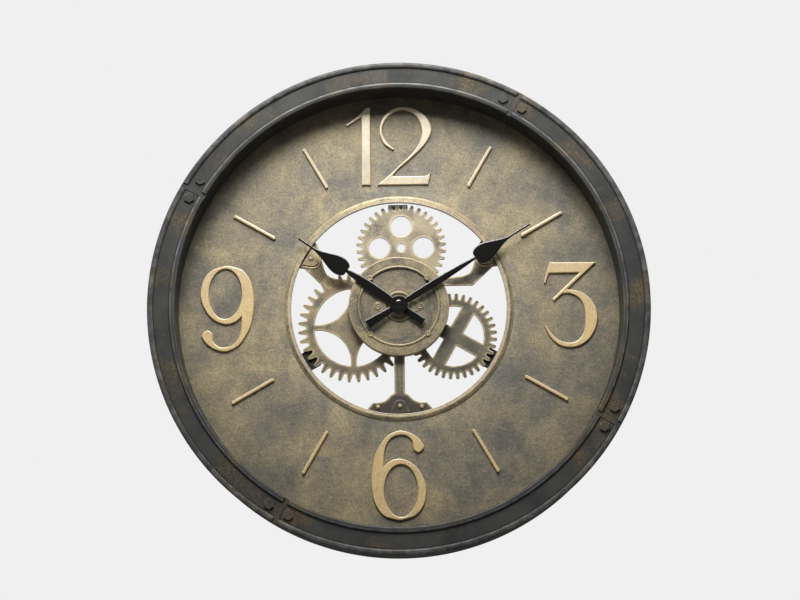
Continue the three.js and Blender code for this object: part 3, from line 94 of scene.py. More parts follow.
def is_inside(points, loops):
    """Whether each point lies inside an odd number of loops"""
    starts = np.concatenate(loops)
    ends = np.concatenate([np.roll(loop, -1, axis=0) for loop in loops])
    px, pz = points[:, 0:1], points[:, 1:2]
    rises = (starts[:, 1] > pz) != (ends[:, 1] > pz)
    height = np.where(ends[:, 1] == starts[:, 1], 1e-12, ends[:, 1] - starts[:, 1])
    reach = starts[:, 0] + (pz - starts[:, 1]) * (ends[:, 0] - starts[:, 0]) / height
    return np.sum(rises & (px < reach), axis=1) % 2 == 1


def inward(loop):
    """Mitred directions into the material, which lies on the left of the loop"""
    ahead = np.roll(loop, -1, axis=0) - loop
    ahead /= np.maximum(norm(ahead, axis=1, keepdims=True), 1e-9)
    left = np.stack([-ahead[:, 1], ahead[:, 0]], axis=1)
    before = np.roll(left, 1, axis=0)
    share = 1 + np.sum(left * before, axis=1, keepdims=True)
    mitre = (left + before) / np.maximum(share, 0.25)
    size = norm(mitre, axis=1, keepdims=True)
    return mitre * np.minimum(1, 1.5 / np.maximum(size, 1e-9))


def filled(loop, step):
    """Loop with points added so that they lie at most a step apart"""
    ahead = np.roll(loop, -1, axis=0) - loop
    runs = []
    for point, way in zip(loop, ahead):
        count = max(1, ceil(norm(way) / step))
        runs.append(point + way * (np.arange(count) / count)[:, None])
    return np.concatenate(runs)


def room(loop, directions, loops):
    """Share of each direction that reaches the middle of the largest circle touching the outline there"""
    size = np.maximum(norm(directions, axis=1), 1e-9)
    unit = directions / size[:, None]
    others = np.concatenate([filled(each, 0.3) for each in loops])
    radius = []
    for point, way in zip(loop, unit):
        gap = others - point
        square = np.sum(gap * gap, axis=1)
        ahead = gap @ way
        met = (square > 1e-6) & (ahead > 1e-3 * np.sqrt(square))
        radius.append(np.min(square[met] / (2 * ahead[met]), initial=50.0))
    return np.array(radius) / np.maximum(size, 1)


LONG_EDGE, EASED_AT = 2.5, (0.3, 0.8, 1.7, 3.5)


def eased(loop):
    """Loop with points added near the ends of its long edges"""
    points = []
    for point, after in zip(loop, np.roll(loop, -1, axis=0)):
        length = norm(after - point)
        near = [0] + [d for d in EASED_AT if length > LONG_EDGE and d < 0.45 * length]
        reach = near + [length - d for d in near[:0:-1]]
        points += [point + (after - point) * d / length for d in reach]
    return np.array(points)


def turned_in(loops):
    """The largest loop runs anticlockwise and the others, its holes, clockwise"""
    loops = sorted(loops, key=lambda loop: -abs(area(loop)))
    return [loop if (area(loop) > 0) == (i == 0) else loop[::-1] for i, loop in enumerate(loops)]


def outlines(node, depth):
    """Closed outlines of the flat faces that a CAD node has at a depth"""
    mesh = bmesh.new()
    mesh.from_mesh(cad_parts[node].data)
    bmesh.ops.remove_doubles(mesh, verts=mesh.verts, dist=2e-6)
    level = FRONT + depth * MM
    flat = {f for f in mesh.faces if all(abs(v.co.y - level) < 2e-5 for v in f.verts)}
    links = {}
    for edge in mesh.edges:
        if sum(f in flat for f in edge.link_faces) == 1:
            first, second = edge.verts
            for here, there in ((first, second), (second, first)):
                links.setdefault(here, []).append(there)
    loops = []
    while links:
        first = here = next(iter(links))
        loop = []
        while True:
            loop.append((here.co.x / MM, here.co.z / MM))
            there = links[here].pop(0)
            links[there].remove(here)
            for done in (here, there):
                if done in links and not links[done]:
                    del links[done]
            here = there
            if here is first or here not in links:
                break
        loops.append(straightened(np.array(loop)))
    mesh.free()
    return turned_in(loops)


def turns(loop):
    """Angle in degrees by which the loop turns at each point"""
    ahead = np.roll(loop, -1, axis=0) - loop
    behind = loop - np.roll(loop, 1, axis=0)
    return np.degrees(np.arctan2(cross(behind, ahead), np.sum(behind * ahead, axis=1)))


def straightened(loop):
    """Loop without the points that lie on a straight line"""
    while True:
        keep = np.abs(turns(loop)) > 0.4
        if keep.all():
            return loop
        loop = loop[keep]


def smooth(loop, corner, step, rounding=0.0):
    """Loop with its facets made round, apart from corners sharper than an angle"""
    count = len(loop)
    sharp = np.abs(turns(loop)) > corner
    ahead = np.roll(loop, -1, axis=0) - loop
    length = norm(ahead, axis=1)
    near = np.maximum(np.roll(length, 1), np.roll(length, -1))
    straight = (length > 9) & (length > 2 * near)
    unit = ahead / length[:, None]

    def bend(point, edge):
        """Direction of the smooth loop at a point, for one of the two edges that meet there"""
        if sharp[point]:
            return unit[edge]
        before = point - 1
        if straight[before] or straight[point]:
            return unit[before] if straight[before] else unit[point]
        mean = unit[before] * length[point] + unit[point] * length[before]
        return mean / norm(mean)

    points, marks = [], []
    for i in range(count):
        j = (i + 1) % count
        points.append(loop[i])
        marks.append(sharp[i])
        if straight[i] or (sharp[i] and sharp[j]):
            continue
        pieces = max(1, min(10, round(length[i] / step)))
        for k in range(1, pieces):
            t = k / pieces
            a, b = 2 * t ** 3 - 3 * t ** 2 + 1, t ** 3 - 2 * t ** 2 + t
            c, d = -2 * t ** 3 + 3 * t ** 2, t ** 3 - t ** 2
            points.append(a * loop[i] + b * length[i] * bend(i, i) + c * loop[j] + d * length[i] * bend(j, i))
            marks.append(False)
    points = np.array(points)
    return rounded(points, marks, rounding) if rounding else points


def curve(start, corner, end, t):
    """Point of the curve that rounds a corner off"""
    return (1 - t) ** 2 * start + 2 * t * (1 - t) * corner + t ** 2 * end


def rounded(points, marks, setback):
    """Loop with its marked corners rounded off"""
    result = []
    for i, point in enumerate(points):
        if not marks[i]:
            result.append(point)
            continue
        before, after = points[i - 1], points[(i + 1) % len(points)]
        ends = []
        for other in (before, after):
            gap = norm(other - point)
            ends.append(point + (other - point) * min(setback, 0.47 * gap) / gap)
        result += [curve(ends[0], point, ends[1], t) for t in (0, 0.25, 0.5, 0.75, 1)]
    return np.array(result)


def outline_circle(x, z, radius, count):
    return np.array([(x + a, z + b) for a, b in (clock(-360 * i / count, radius) for i in range(count))])


# Pieces

ROUND_SHARE, HEEL_SHARE, FADE_SHARE, FADE_MORE = 0.6, 0.5, 0.66, 0.06


class Shell:
    """Points, faces and marks of one piece; a mark is 1 on worn edges and on painted highlights, and -1 in
    crevices and in painted shade
    """

    def __init__(self):
        self.points, self.faces, self.wear_and_painted_light = [], [], []

    def ring(self, points, wear_and_painted_light=0.0):
        first = len(self.points)
        self.points += [tuple(p) for p in points]
        self.wear_and_painted_light += [wear_and_painted_light] * len(points) if isinstance(wear_and_painted_light, (int, float)) else list(wear_and_painted_light)
        return list(range(first, len(self.points)))

    def level(self, outline, depth, wear_and_painted_light=0.0):
        """Ring over an outline at one depth"""
        return self.ring([at(p[0], depth, p[1]) for p in outline], wear_and_painted_light)

    def stack(self, rings):
        """Skin over rings with the same number of points"""
        for a, b in zip(rings, rings[1:]):
            self.faces += [(a[i - 1], a[i], b[i], b[i - 1]) for i in [*range(1, len(a)), 0]]

    def close(self, ring, tip, wear_and_painted_light=0.0):
        """Fan from a ring to a tip"""
        point = self.ring([tip], wear_and_painted_light)[0]
        self.faces += [(ring[i - 1], ring[i], point) for i in [*range(1, len(ring)), 0]]

    def cover(self, loops, flat, lift):
        """Fills the plane area inside loops of points; flat holds their places in the plane"""
        ids = [i for loop in loops for i in loop]
        edges, start = [], 0
        for loop in loops:
            edges += [(start + i, start + (i + 1) % len(loop)) for i in range(len(loop))]
            start += len(loop)
        places = [Vector(p) for p in np.concatenate(flat)]
        corners, _, faces, origin, _, _ = delaunay_2d_cdt(places, edges, [], 1, 1e-7)
        known = [ids[o[0]] if o else self.ring([lift(*corners[k])])[0] for k, o in enumerate(origin)]
        middles = np.array([sum((corners[k] for k in f), Vector((0, 0))) / len(f) for f in faces])
        for face, kept in zip(faces, is_inside(middles, flat)):
            if kept:
                self.faces.append(tuple(known[k] for k in face))

    def plate(self, loops, front, back, bevel, heel, fade, steps=4, foot=0.1, drop=None, worn=1.0):
        """Flat piece with a round front edge, or a chamfer of depth drop. Worn and foot mark its front and back
        edge, for rubbing and for painted highlight and painted shade, and fade lists how the front's ends, as
        set-in and mark"""
        ends = {front: ([], []), back: ([], [])}
        loops = [eased(loop) for loop in loops]
        for loop in loops:
            into = inward(loop)
            free = room(loop, into, loops)
            round_by = np.minimum(bevel, ROUND_SHARE * free)
            heel_by = np.minimum(heel, HEEL_SHARE * free)
            stages = [(heel_by, np.full(len(loop), float(back)), foot), (0 * heel_by, back - heel_by, foot)]
            if drop:
                # The chamfer is marked bright; on black paint the mark becomes a painted highlight where it
                # faces up
                for across, down, wear_and_painted_light in ((0, 1, 0.3), (0.12, 0.72, 0.9), (0.88, 0.08, 0.9), (1, 0, 0.3)):
                    stages.append((across * round_by, front + down * drop * round_by / bevel, wear_and_painted_light))
            for k in range(0 if drop else steps + 1):
                rise, run = sin(pi / 2 * k / steps), cos(pi / 2 * k / steps)
                stages.append((round_by * (1 - run), front + round_by * (1 - rise), worn * (0.4 + 0.6 * rise)))
            for k, (reach, wear_and_painted_light) in enumerate(fade):
                fade_by = np.minimum(bevel + reach, (FADE_SHARE + FADE_MORE * k) * free)
                stages.append((fade_by, np.full(len(loop), float(front)), wear_and_painted_light))
            places = [loop + into * inset[:, None] for inset, _, _ in stages]
            rings = [self.ring([at(p[0], d, p[1]) for p, d in zip(laid, depth)], wear_and_painted_light)
                     for laid, (_, depth, wear_and_painted_light) in zip(places, stages)]
            self.stack(rings)
            for level, k in ((front, -1), (back, 0)):
                ends[level][0].append(rings[k])
                ends[level][1].append(places[k])
        for level, (around, flat) in ends.items():
            self.cover(around, flat, lambda x, z: at(x, level, z))

    def lathe(self, stations, x=0.0, z=0.0):
        """Turned piece; stations are pairs of a clock angle and a profile, in order round the axis"""
        rings = []
        for angle, outline in stations:
            side, up = clock(angle, 1)
            rings.append(self.ring([at(x + side * r, d, z + up * r) for r, d, _ in outline],
                                   [w for _, _, w in outline]))
        self.stack(rings)
        if stations[-1][0] - stations[0][0] > 359:
            return
        for (angle, outline), ring in ((stations[0], rings[0]), (stations[-1], rings[-1])):
            side, up = clock(angle, 1)
            flat = np.array([(r, d) for r, d, _ in outline])
            self.cover([ring], [flat], lambda r, d: at(x + side * r, d, z + up * r))

    def wheel(self, outline, count, x=0.0, z=0.0):
        """Full turn of a profile"""
        self.lathe([(360 * i / count, outline) for i in range(count + 1)], x, z)

    def dome(self, x, z, base, radius, height, sunk=0.4, count=20, rise=5):
        """Rivet head standing on a face"""
        stages = [(base + sunk, radius, -0.8), (base, radius, -0.6)]
        for k in range(1, rise):
            up, run = sin(pi / 2 * k / rise), cos(pi / 2 * k / rise)
            stages.append((base - height * up, radius * run, 0.2 + 0.8 * up))
        rings = [self.level(outline_circle(x, z, reach, count), depth, wear_and_painted_light) for depth, reach, wear_and_painted_light in stages]
        self.stack(rings)
        self.close(rings[0], at(x, base + sunk, z), -0.8)
        self.close(rings[-1], at(x, base - height, z), 1.0)

    def washer(self, x, z, base, inner, outer, height):
        """Screw in a ring: a raised ring with a small dome inside it"""
        front = base - height
        middle = (inner + outer) / 2
        self.wheel(profile([(inner, base + 0.3, 0.05), (inner, front + 0.3, 0.2), (middle, front, 0.3),
                            (outer, front + 0.3, 0.2), (outer, base + 0.3, 0.05)], fade=0.2), 24, x, z)
        self.dome(x, z, base, 0.75 * inner, 0.8 * height, 0.3, 12, 4)


def profile(corners, like=None, steps=4, fade=1.6):
    """Closed outline of (radius, depth, wear); corners are (radius, depth, setback of the rounding)"""
    model = np.array([c[:2] for c in like or corners], float)
    places = np.array([c[:2] for c in corners], float)
    sign = 1 if area(places) > 0 else -1
    count = len(places)
    result = []
    for i in range(count):
        p0, p1, p2 = places[i - 1], places[i], places[(i + 1) % count]
        toward, away = p0 - p1, p2 - p1
        back, on = norm(toward), norm(away)
        setback = min(corners[i][2], 0.45 * back, 0.45 * on)
        turn = sign * float(cross(-toward, away)) / (back * on)
        needed = 2 * (corners[i][2] + fade)
        spare = [norm(model[i] - model[k]) > needed for k in (i - 1, (i + 1) % count)]
        a, b = p1 + toward / back * setback, p1 + away / on * setback
        if spare[0]:
            result.append((*(p1 + toward / back * (setback + fade)), 0.0))
        for k in range(steps + 1):
            t = k / steps
            result.append((*curve(a, p1, b, t), turn * (0.45 + 2.2 * t * (1 - t))))
        if spare[1]:
            result.append((*(p1 + away / on * (setback + fade)), 0.0))
    return result if sign > 0 else result[::-1]


def shrunk(outline, amount, bead=0.5):
    """Profile set in by an amount, for the end of a segment; bead is the wear on the ends of the beads"""
    flat = np.array([(r, d) for r, d, _ in outline])
    into = inward(flat)
    flat = flat + into * np.minimum(amount, 0.7 * room(flat, into, [flat]))[:, None]
    return [(p[0], p[1], bead if p[1] < STRAP_FRONT - 0.4 else 0.9) for p in flat]


def placed(name, data):
    """New object in the scene"""
    obj = bpy.data.objects.new(name, data)
    bpy.context.collection.objects.link(obj)
    return obj


def piece(name, shell, material, body="clock_frame", sharp=38, fold=None):
    """Object of a shell, riding on a body in place of the CAD node of its name; fold shapes its mesh"""
    mesh = bpy.data.meshes.new(name)
    mesh.from_pydata(shell.points, [], shell.faces)
    mesh.attributes.new("wear_and_painted_light", "FLOAT", "POINT").data.foreach_set("value", shell.wear_and_painted_light)
    work = bmesh.new()
    work.from_mesh(mesh)
    bmesh.ops.remove_doubles(work, verts=work.verts, dist=1e-6)
    bmesh.ops.dissolve_degenerate(work, edges=work.edges, dist=1e-6)
    if fold:
        fold(work)
    bmesh.ops.recalc_face_normals(work, faces=work.faces)
    work.to_mesh(mesh)
    work.free()
    mesh.shade_smooth()
    mesh.set_sharp_from_angle(angle=radians(sharp))
    mesh.materials.append(material)
    obj = placed(name, mesh)
    obj.modifiers.new("even_normals", "WEIGHTED_NORMAL").keep_sharp = True
    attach(obj, body)
    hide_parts(name)
    return obj


def flat_piece(name, material, slot, smoothing, bevel, heel, fade, body="clock_frame", **more):
    """Plate over the front outline of a CAD node"""
    front, back = depths(name)
    shell = Shell()
    loops = [smooth(loop, *smoothing) for loop in outlines(name, front)]
    shell.plate(loops, front, back, bevel, heel, fade, **more)
    piece(name, shell, material, body)


def second_finish(obj, material, inner, outer):
    """Another material on the faces between two radii"""
    obj.data.materials.append(material)
    for face in obj.data.polygons:
        if inner * MM < hypot(face.center.x, face.center.z) < outer * MM:
            face.material_index = 1


# Materials

class Nodes:
    """Node tree of a material or of the world"""

    def __init__(self, tree):
        self.tree = tree

    def put(self, socket, value):
        if isinstance(value, bpy.types.NodeSocket):
            self.tree.links.new(value, socket)
        elif isinstance(value, tuple) and socket.type == "RGBA":
            socket.default_value = (*value, 1)
        else:
            socket.default_value = value

    def node(self, kind, inputs=(), **settings):
        """Node with settings, and with links or values on some of its inputs"""
        node = self.tree.nodes.new("ShaderNode" + kind)
        for key, value in settings.items():
            setattr(node, key, value)
        for key, value in dict(inputs).items():
            self.put(node.inputs[key], value)
        return node

    def axis(self, letter, source="Object"):
        """One coordinate of the place on the object, or of another source"""
        return self.node("SeparateXYZ", {0: self.node("TexCoord").outputs[source]}).outputs[letter]

    def span(self, value, start, end, low=0.0, high=1.0):
        """A value between start and end spread between low and high, and held there beyond them"""
        return self.node("MapRange", enumerate((value, start, end, low, high))).outputs["Result"]

    def grey(self, low, high, value):
        """A value from 0 to 1 spread between two numbers"""
        return self.span(value, 0.0, 1.0, low, high)

    def math(self, operation, a, b=0.0, c=0.0, clamp=False):
        return self.node("Math", enumerate((a, b, c)), operation=operation, use_clamp=clamp).outputs["Value"]


class Paint(Nodes):
    """Procedural material in the object's own coordinates"""

    def __init__(self, name, **values):
        self.material = bpy.data.materials.new(name)
        self.material.use_nodes = True
        super().__init__(self.material.node_tree)
        self.shader = self.tree.nodes["Principled BSDF"]
        self.place = self.node("TexCoord").outputs["Object"]
        self.wear_and_painted_light = self.node("Attribute", attribute_name="wear_and_painted_light").outputs["Fac"]
        for key, value in values.items():
            self.shader.inputs[key.replace("_", " ").title().replace("Ior", "IOR")].default_value = value

    def noise(self, size, detail=4, rough=0.55, twist=0.0, seed=0.0, stretch=(1, 1, 1), turn=(0, 0, 0)):
        """Noise whose patches are about a size across; stretch divides the size along each axis"""
        shift = (seed * 0.37, seed * 0.61, seed * 0.29)
        moves = {"Vector": self.place, "Location": shift, "Scale": stretch, "Rotation": turn}
        place = self.node("Mapping", moves).outputs["Vector"]
        inputs = {"Vector": place, "Scale": 1 / (size * MM), "Detail": detail, "Roughness": rough}
        return self.node("TexNoise", {**inputs, "Distortion": twist}).outputs["Fac"]

    def rays(self, spread, seed):
        """Noise in strokes that run out from the hand axis"""
        flat = self.node("VectorMath", {0: self.place, 1: (1, 0, 1)}, operation="MULTIPLY")
        way = self.node("VectorMath", {0: flat.outputs["Vector"]}, operation="NORMALIZE")
        out = self.math("MULTIPLY_ADD", self.far((0, 0, 0)), 1 / (9 * MM), seed)
        inputs = {"Vector": way.outputs["Vector"], "Scale": spread, "Detail": 4.0, "W": out}
        return self.node("TexNoise", inputs, noise_dimensions="4D").outputs["Fac"]

    def far(self, centre):
        """Distance from a place given in metres"""
        return self.node("VectorMath", {0: self.place, 1: centre}, operation="DISTANCE").outputs["Value"]

    def bands(self, **values):
        """Bands across the X axis"""
        inputs = {key.replace("_", " ").title(): value for key, value in values.items()}
        return self.node("TexWave", {"Vector": self.place, **inputs}, bands_direction="X").outputs["Fac"]

    def ramp(self, value, *stops):
        """Colours or greys at places between 0 and 1"""
        node = self.node("ValToRGB", {"Fac": value})
        elements = node.color_ramp.elements
        while len(elements) < len(stops):
            elements.new(0.5)
        for element, (position, colour) in zip(elements, stops):
            element.position = position
            element.color = (*colour, 1) if isinstance(colour, tuple) else (colour, colour, colour, 1)
        return node.outputs["Color"]

    def mix(self, share, a, b, blend="MIX"):
        return self.node("Mix", {0: share, 6: a, 7: b}, data_type="RGBA", blend_type=blend).outputs[2]

    def edge(self, size, seed, low, high):
        """Uneven mask along worn edges and painted highlights"""
        ragged = self.grey(0.25, 1.1, self.noise(size, 3, seed=seed))
        return self.ramp(self.math("MULTIPLY", self.wear_and_painted_light, ragged), (low, 0.0), (high, 1.0))

    # Share of darkening from negative marks: crevices, and painted shade
    def hollows_and_shade(self):
        return self.math("MULTIPLY", self.wear_and_painted_light, -1.0, clamp=True)

    def bump(self, height, depth, strength, under=None):
        """Normal over a height of at most a depth, and over another normal"""
        inputs = {"Height": height, "Distance": depth * MM, "Strength": strength}
        return self.node("Bump", {**inputs, "Normal": under} if under is not None else inputs).outputs["Normal"]

    def done(self, colour, roughness, normal):
        for key, value in (("Base Color", colour), ("Roughness", roughness), ("Normal", normal)):
            self.put(self.shader.inputs[key], value)
        return self.material


# Clock angles and radii of brown and of clean places on the rim
RUSTY, CLEAN = ((34, 238), (118.3, 237), (206, 235), (320, 246), (291, 240)), (301, 237)


def gunmetal(name="gunmetal", gloss=0.08):
    """Dark grey metal with thin bright edges, partly rubbed and partly a painted highlight, with painted shade
    on the inner wall and on the bolt heads' sides, dusted with brown in patches and beside some joints
    """
    paint = Paint(name, metallic=0.05, specular_ior_level=gloss)
    steel = paint.mix(paint.ramp(paint.noise(34, 5, 0.6, seed=1), (0.34, 0.0), (0.66, 1.0)),
                      (0.055, 0.056, 0.054), (0.086, 0.087, 0.083))
    fine = paint.noise(1.0, 2, 0.7, seed=2)
    steel = paint.mix(0.4, steel, paint.ramp(fine, (0.3, 0.5), (0.7, 1.3)), "MULTIPLY")
    rust = paint.mix(paint.ramp(paint.noise(1.5, 3, 0.7, seed=3), (0.4, 0.0), (0.62, 1.0)),
                     (0.07, 0.058, 0.043), (0.215, 0.157, 0.085))

    def far_from(angle, radius):
        x, z = clock(angle, radius)
        return paint.far(at(x, 0, z))

    near = 1.0
    for place in RUSTY:
        near = paint.math("MINIMUM", near, far_from(*place))
    ragged = paint.grey(-0.13, 0.13, paint.noise(3, 3, 0.7, seed=9))
    patches = paint.math("ADD", paint.noise(52, 6, 0.6, 0.6, seed=4), ragged)
    patches = paint.math("ADD", patches, paint.span(near, 24 * MM, 5 * MM, 0.0, 0.17))
    patches = paint.math("ADD", patches, paint.span(far_from(*CLEAN), 38 * MM, 12 * MM, 0.0, -0.3))
    where = paint.ramp(patches, (0.53, 0.0), (0.72, 0.9))
    colour = paint.mix(where, steel, rust)
    # Bright edges: partly rubbed, partly a painted highlight along the beads and their shoulders
    scuff_and_light_tone = paint.mix(paint.ramp(paint.noise(24, 3, seed=5), (0.55, 0.0), (0.75, 1.0)),
                       (0.42, 0.43, 0.425), (0.25, 0.19, 0.12))
    colour = paint.mix(paint.edge(9, 6, 0.35, 1.1), colour, scuff_and_light_tone)
    # Near black where marked as hollow: painted shade on the inner wall and on the bolt heads' sides, and dark
    # in concave corners
    colour = paint.mix(paint.hollows_and_shade(), colour, (0.008, 0.008, 0.007))
    rough = paint.grey(0.26, 0.38, paint.noise(11, 4, seed=7))
    normal = paint.bump(paint.noise(1.1, 3, seed=8), 0.08, 0.4)
    return paint.done(colour, rough, paint.bump(where, 0.1, 0.5, normal))


def pewter():
    """Grey metal brushed over with gold in soft patches, with painted shade under the rim, darkest at the top
    and weakest at the bottom, and a painted sheen beside the opening
    """
    paint = Paint("pewter", metallic=0.1, specular_ior_level=0.4)
    wide = paint.noise(62, 4, 0.5, 0.6, seed=11)
    clouds = paint.noise(15, 5, 0.6, 0.6, seed=12, stretch=(1, 1, 0.7), turn=(0, 0.9, 0))
    small = paint.noise(4, 3, 0.6, seed=15, stretch=(0.5, 1, 1.3), turn=(0, -0.6, 0))
    patches = paint.math("MULTIPLY_ADD", wide, 0.54, paint.math("MULTIPLY_ADD", clouds, 0.3,
                                                                paint.math("MULTIPLY", small, 0.16)))
    colour = paint.ramp(patches, (0.38, (0.156, 0.145, 0.12)), (0.47, (0.235, 0.206, 0.148)),
                        (0.54, (0.306, 0.257, 0.164)), (0.63, (0.408, 0.333, 0.195)))
    grain = paint.noise(1.4, 3, 0.75, seed=13)
    colour = paint.mix(0.8, colour, paint.ramp(grain, (0.3, 0.5), (0.5, 1.0), (0.7, 1.55)), "MULTIPLY")
    # Painted shade near the rim and a painted sheen near the opening, both weaker towards the bottom
    out = paint.far(at(0, DIAL_FRONT, 0))
    scuff_and_light_tone = paint.ramp(paint.span(out, 0.11, 0.225), (0.1, 1.2), (0.3, 1.0), (0.7, 1.0), (0.97, 0.74))
    height = paint.axis("Z")
    colour = paint.mix(paint.span(height, -0.21, -0.12, 0.3, 1.0), colour, scuff_and_light_tone, "MULTIPLY")
    # Painted shade across the top, under the rim
    colour = paint.mix(1.0, colour, paint.span(height, 0.17, 0.215, 1.0, 0.55), "MULTIPLY")
    rough = paint.grey(0.46, 0.62, clouds)
    hammered = paint.bump(paint.math("ADD", small, clouds), 0.3, 0.6)
    return paint.done(colour, rough, paint.bump(grain, 0.1, 0.5, hammered))


def pale_gold():
    """Cast numerals brushed with pale gold paint; paler and brighter towards the top as painted light, with a
    painted highlight on bevels that face up and painted shade at their foot
    """
    paint = Paint("pale_gold", metallic=0.1, specular_ior_level=1.0)
    strokes = paint.noise(1.6, 4, 0.65, 0.4, seed=21, stretch=(1, 1, 0.14), turn=(0, 0.5, 0))
    cloud = paint.noise(16, 4, seed=22)
    height = paint.axis("Z")
    # Painted sheen towards the top: the gold turns paler and creamier there, with less grain
    top_sheen = paint.math("MULTIPLY_ADD", height, 6.0, 0.08, clamp=True)
    golden = paint.mix(cloud, (0.75, 0.535, 0.24), (0.97, 0.735, 0.375))
    colour = paint.mix(top_sheen, golden, paint.mix(cloud, (0.5, 0.436, 0.315), (0.63, 0.556, 0.425)))
    colour = paint.mix(0.25, colour, paint.ramp(strokes, (0.3, 0.55), (0.6, 1.1)), "MULTIPLY")
    grain = paint.ramp(paint.noise(1.6, 3, 0.7, seed=25), (0.36, 0.62), (0.6, 1.08))
    colour = paint.mix(paint.math("MULTIPLY_ADD", top_sheen, -0.5, 0.6), colour, grain, "MULTIPLY")
    # Painted light on the top numerals, which lie in the rim's shade
    top_light = paint.span(height, 0.155, 0.2, 1.0, 1.7)
    colour = paint.mix(1.0, colour, top_light, "MULTIPLY")
    stain = paint.ramp(paint.noise(9, 5, 0.65, 0.5, seed=24), (0.35, 0.7), (0.5, 1.0))
    colour = paint.mix(0.35, colour, stain, "MULTIPLY")
    colour = paint.mix(paint.edge(8, 23, 0.45, 1.1), colour, (0.88, 0.74, 0.5))
    # Bevels are golden brown, with a painted highlight where they face up
    facing = paint.span(paint.axis("Z", "Normal"), 0.1, 0.4)
    bevel = paint.ramp(paint.hollows_and_shade(), (0.08, 0.0), (0.26, 0.9))
    edge = paint.mix(facing, (0.6, 0.42, 0.19), (0.96, 0.86, 0.64))
    colour = paint.mix(bevel, colour, edge)
    # Painted shade at the foot, where the numerals meet the dial
    colour = paint.mix(paint.ramp(paint.hollows_and_shade(), (0.4, 0.0), (1.0, 1.0)), colour, (0.09, 0.055, 0.02))
    return paint.done(colour, paint.grey(0.32, 0.46, strokes), paint.bump(strokes, 0.06, 0.5))


def brass(name="antique_brass", tone=0.0, dark_below=None, glow=0.0, pale=0.0, grainy=0.5, cloudy=0.7):
    """Brown ground dry-brushed with gold. Tone lightens it, glow does so towards the hand axis and, as a
    painted sheen of brushed brass, in strokes round it, pale makes its gold paler, and grainy and cloudy are
    the shares of its small and wide spots.
    Dark_below is a height, the depth of the change there and how black it is below"""
    paint = Paint(name, metallic=0.3, specular_ior_level=0.4)
    cloud = paint.noise(22, 5, 0.6, 0.4, seed=31)
    # Glow: a painted sheen in strokes round the hand axis, and lighter towards the axis
    if glow:
        cloud = paint.mix(0.65, cloud, paint.rays(2.2, 35))
        cloud = paint.math("ADD", cloud, paint.span(paint.far((0, 0, 0)), 13 * MM, 36 * MM, glow, -0.4 * glow))
    shade = paint.math("MULTIPLY_ADD", cloud, cloudy, 0.5 * (1 - cloudy) + tone)
    colour = paint.ramp(shade, (0.36, (0.09, 0.087, 0.076)), (0.5, (0.16, 0.147, 0.115)),
                        (0.64, (0.27, 0.233, 0.165)), (0.8, (0.42, 0.36, 0.25)))
    grain = paint.noise(1.2, 3, 0.75, seed=32)
    speck = paint.math("MULTIPLY_ADD", shade, 0.8, paint.math("SUBTRACT", grain, 0.4))
    gold = (0.47 + 0.06 * pale, 0.37 + 0.09 * pale, 0.2 + 0.14 * pale)
    colour = paint.mix(paint.ramp(speck, (0.46, 0.0), (0.68, 1.6 * grainy)), colour, gold)
    colour = paint.mix(grainy, colour, paint.ramp(grain, (0.3, 0.6), (0.5, 1.0), (0.7, 1.35)), "MULTIPLY")
    if dark_below:
        height, change, black = dark_below
        ragged = paint.math("ADD", paint.axis("Z"), paint.grey(-0.004, 0.004, paint.noise(8, 3, seed=33)))
        low = paint.span(ragged, height * MM, (height - change) * MM, 0.0, black)
        colour = paint.mix(low, colour, paint.mix(cloud, (0.045, 0.041, 0.033), (0.12, 0.104, 0.078)))
    scuff_and_light_tone = (0.68 + 0.06 * pale, 0.54 + 0.1 * pale, 0.31 + 0.2 * pale)
    colour = paint.mix(paint.edge(5, 34, 0.2, 0.85), colour, scuff_and_light_tone)
    colour = paint.mix(paint.hollows_and_shade(), colour, (0.03, 0.026, 0.018))
    return paint.done(colour, paint.grey(0.36, 0.6, cloud), paint.bump(grain, 0.1, 0.6))


def dark_iron(name="dark_iron", dark=(0.016, 0.015, 0.013), light=(0.05, 0.045, 0.036)):
    """Dark matt paint on iron"""
    paint = Paint(name, metallic=0.3, specular_ior_level=0.3)
    cloud = paint.noise(9, 5, 0.6, seed=41)
    colour = paint.mix(cloud, dark, light)
    rough = paint.grey(0.5, 0.75, cloud)
    return paint.done(colour, rough, paint.bump(paint.noise(1.2, 3, seed=43), 0.12, 0.6))


def black_paint(name="black_paint", roughness=(0.2, 0.27), gloss=0.22):
    """Black paint with a painted highlight along the edges that face up, uneven along them"""
    paint = Paint(name, specular_ior_level=gloss)
    cloud = paint.noise(14, 4, seed=51)
    fleck = paint.ramp(paint.noise(1.3, 2, 0.7, seed=54), (0.5, 0.0), (0.75, 0.6))
    colour = paint.mix(cloud, (0.006, 0.006, 0.0055), (0.011, 0.0105, 0.0095))
    colour = paint.mix(fleck, colour, (0.018, 0.0155, 0.012))
    # Painted highlight on edges that face up
    facing = paint.span(paint.axis("Z", "Normal"), 0.05, 0.25)
    scuff_and_light_tone = paint.math("MULTIPLY", paint.edge(10, 52, 0.2, 0.7), facing)
    colour = paint.mix(scuff_and_light_tone, colour, (0.34, 0.333, 0.315))
    rough = paint.grey(*roughness, cloud)
    return paint.done(colour, rough, paint.bump(paint.noise(2.5, 2, seed=53), 0.02, 0.2))


def plastic(name, dark, light, seed=61):
    """Moulded plastic with a fine spark-eroded grain"""
    paint = Paint(name, specular_ior_level=0.45)
    cloud = paint.noise(12, 3, seed=seed)
    grain = paint.noise(0.5, 2, 0.6, seed=seed + 1)
    speck = paint.ramp(grain, (0.35, 0.7), (0.65, 1.0))
    colour = paint.mix(0.3, paint.mix(cloud, dark, light), speck, "MULTIPLY")
    return paint.done(colour, paint.grey(0.42, 0.56, grain), paint.bump(grain, 0.05, 0.6))


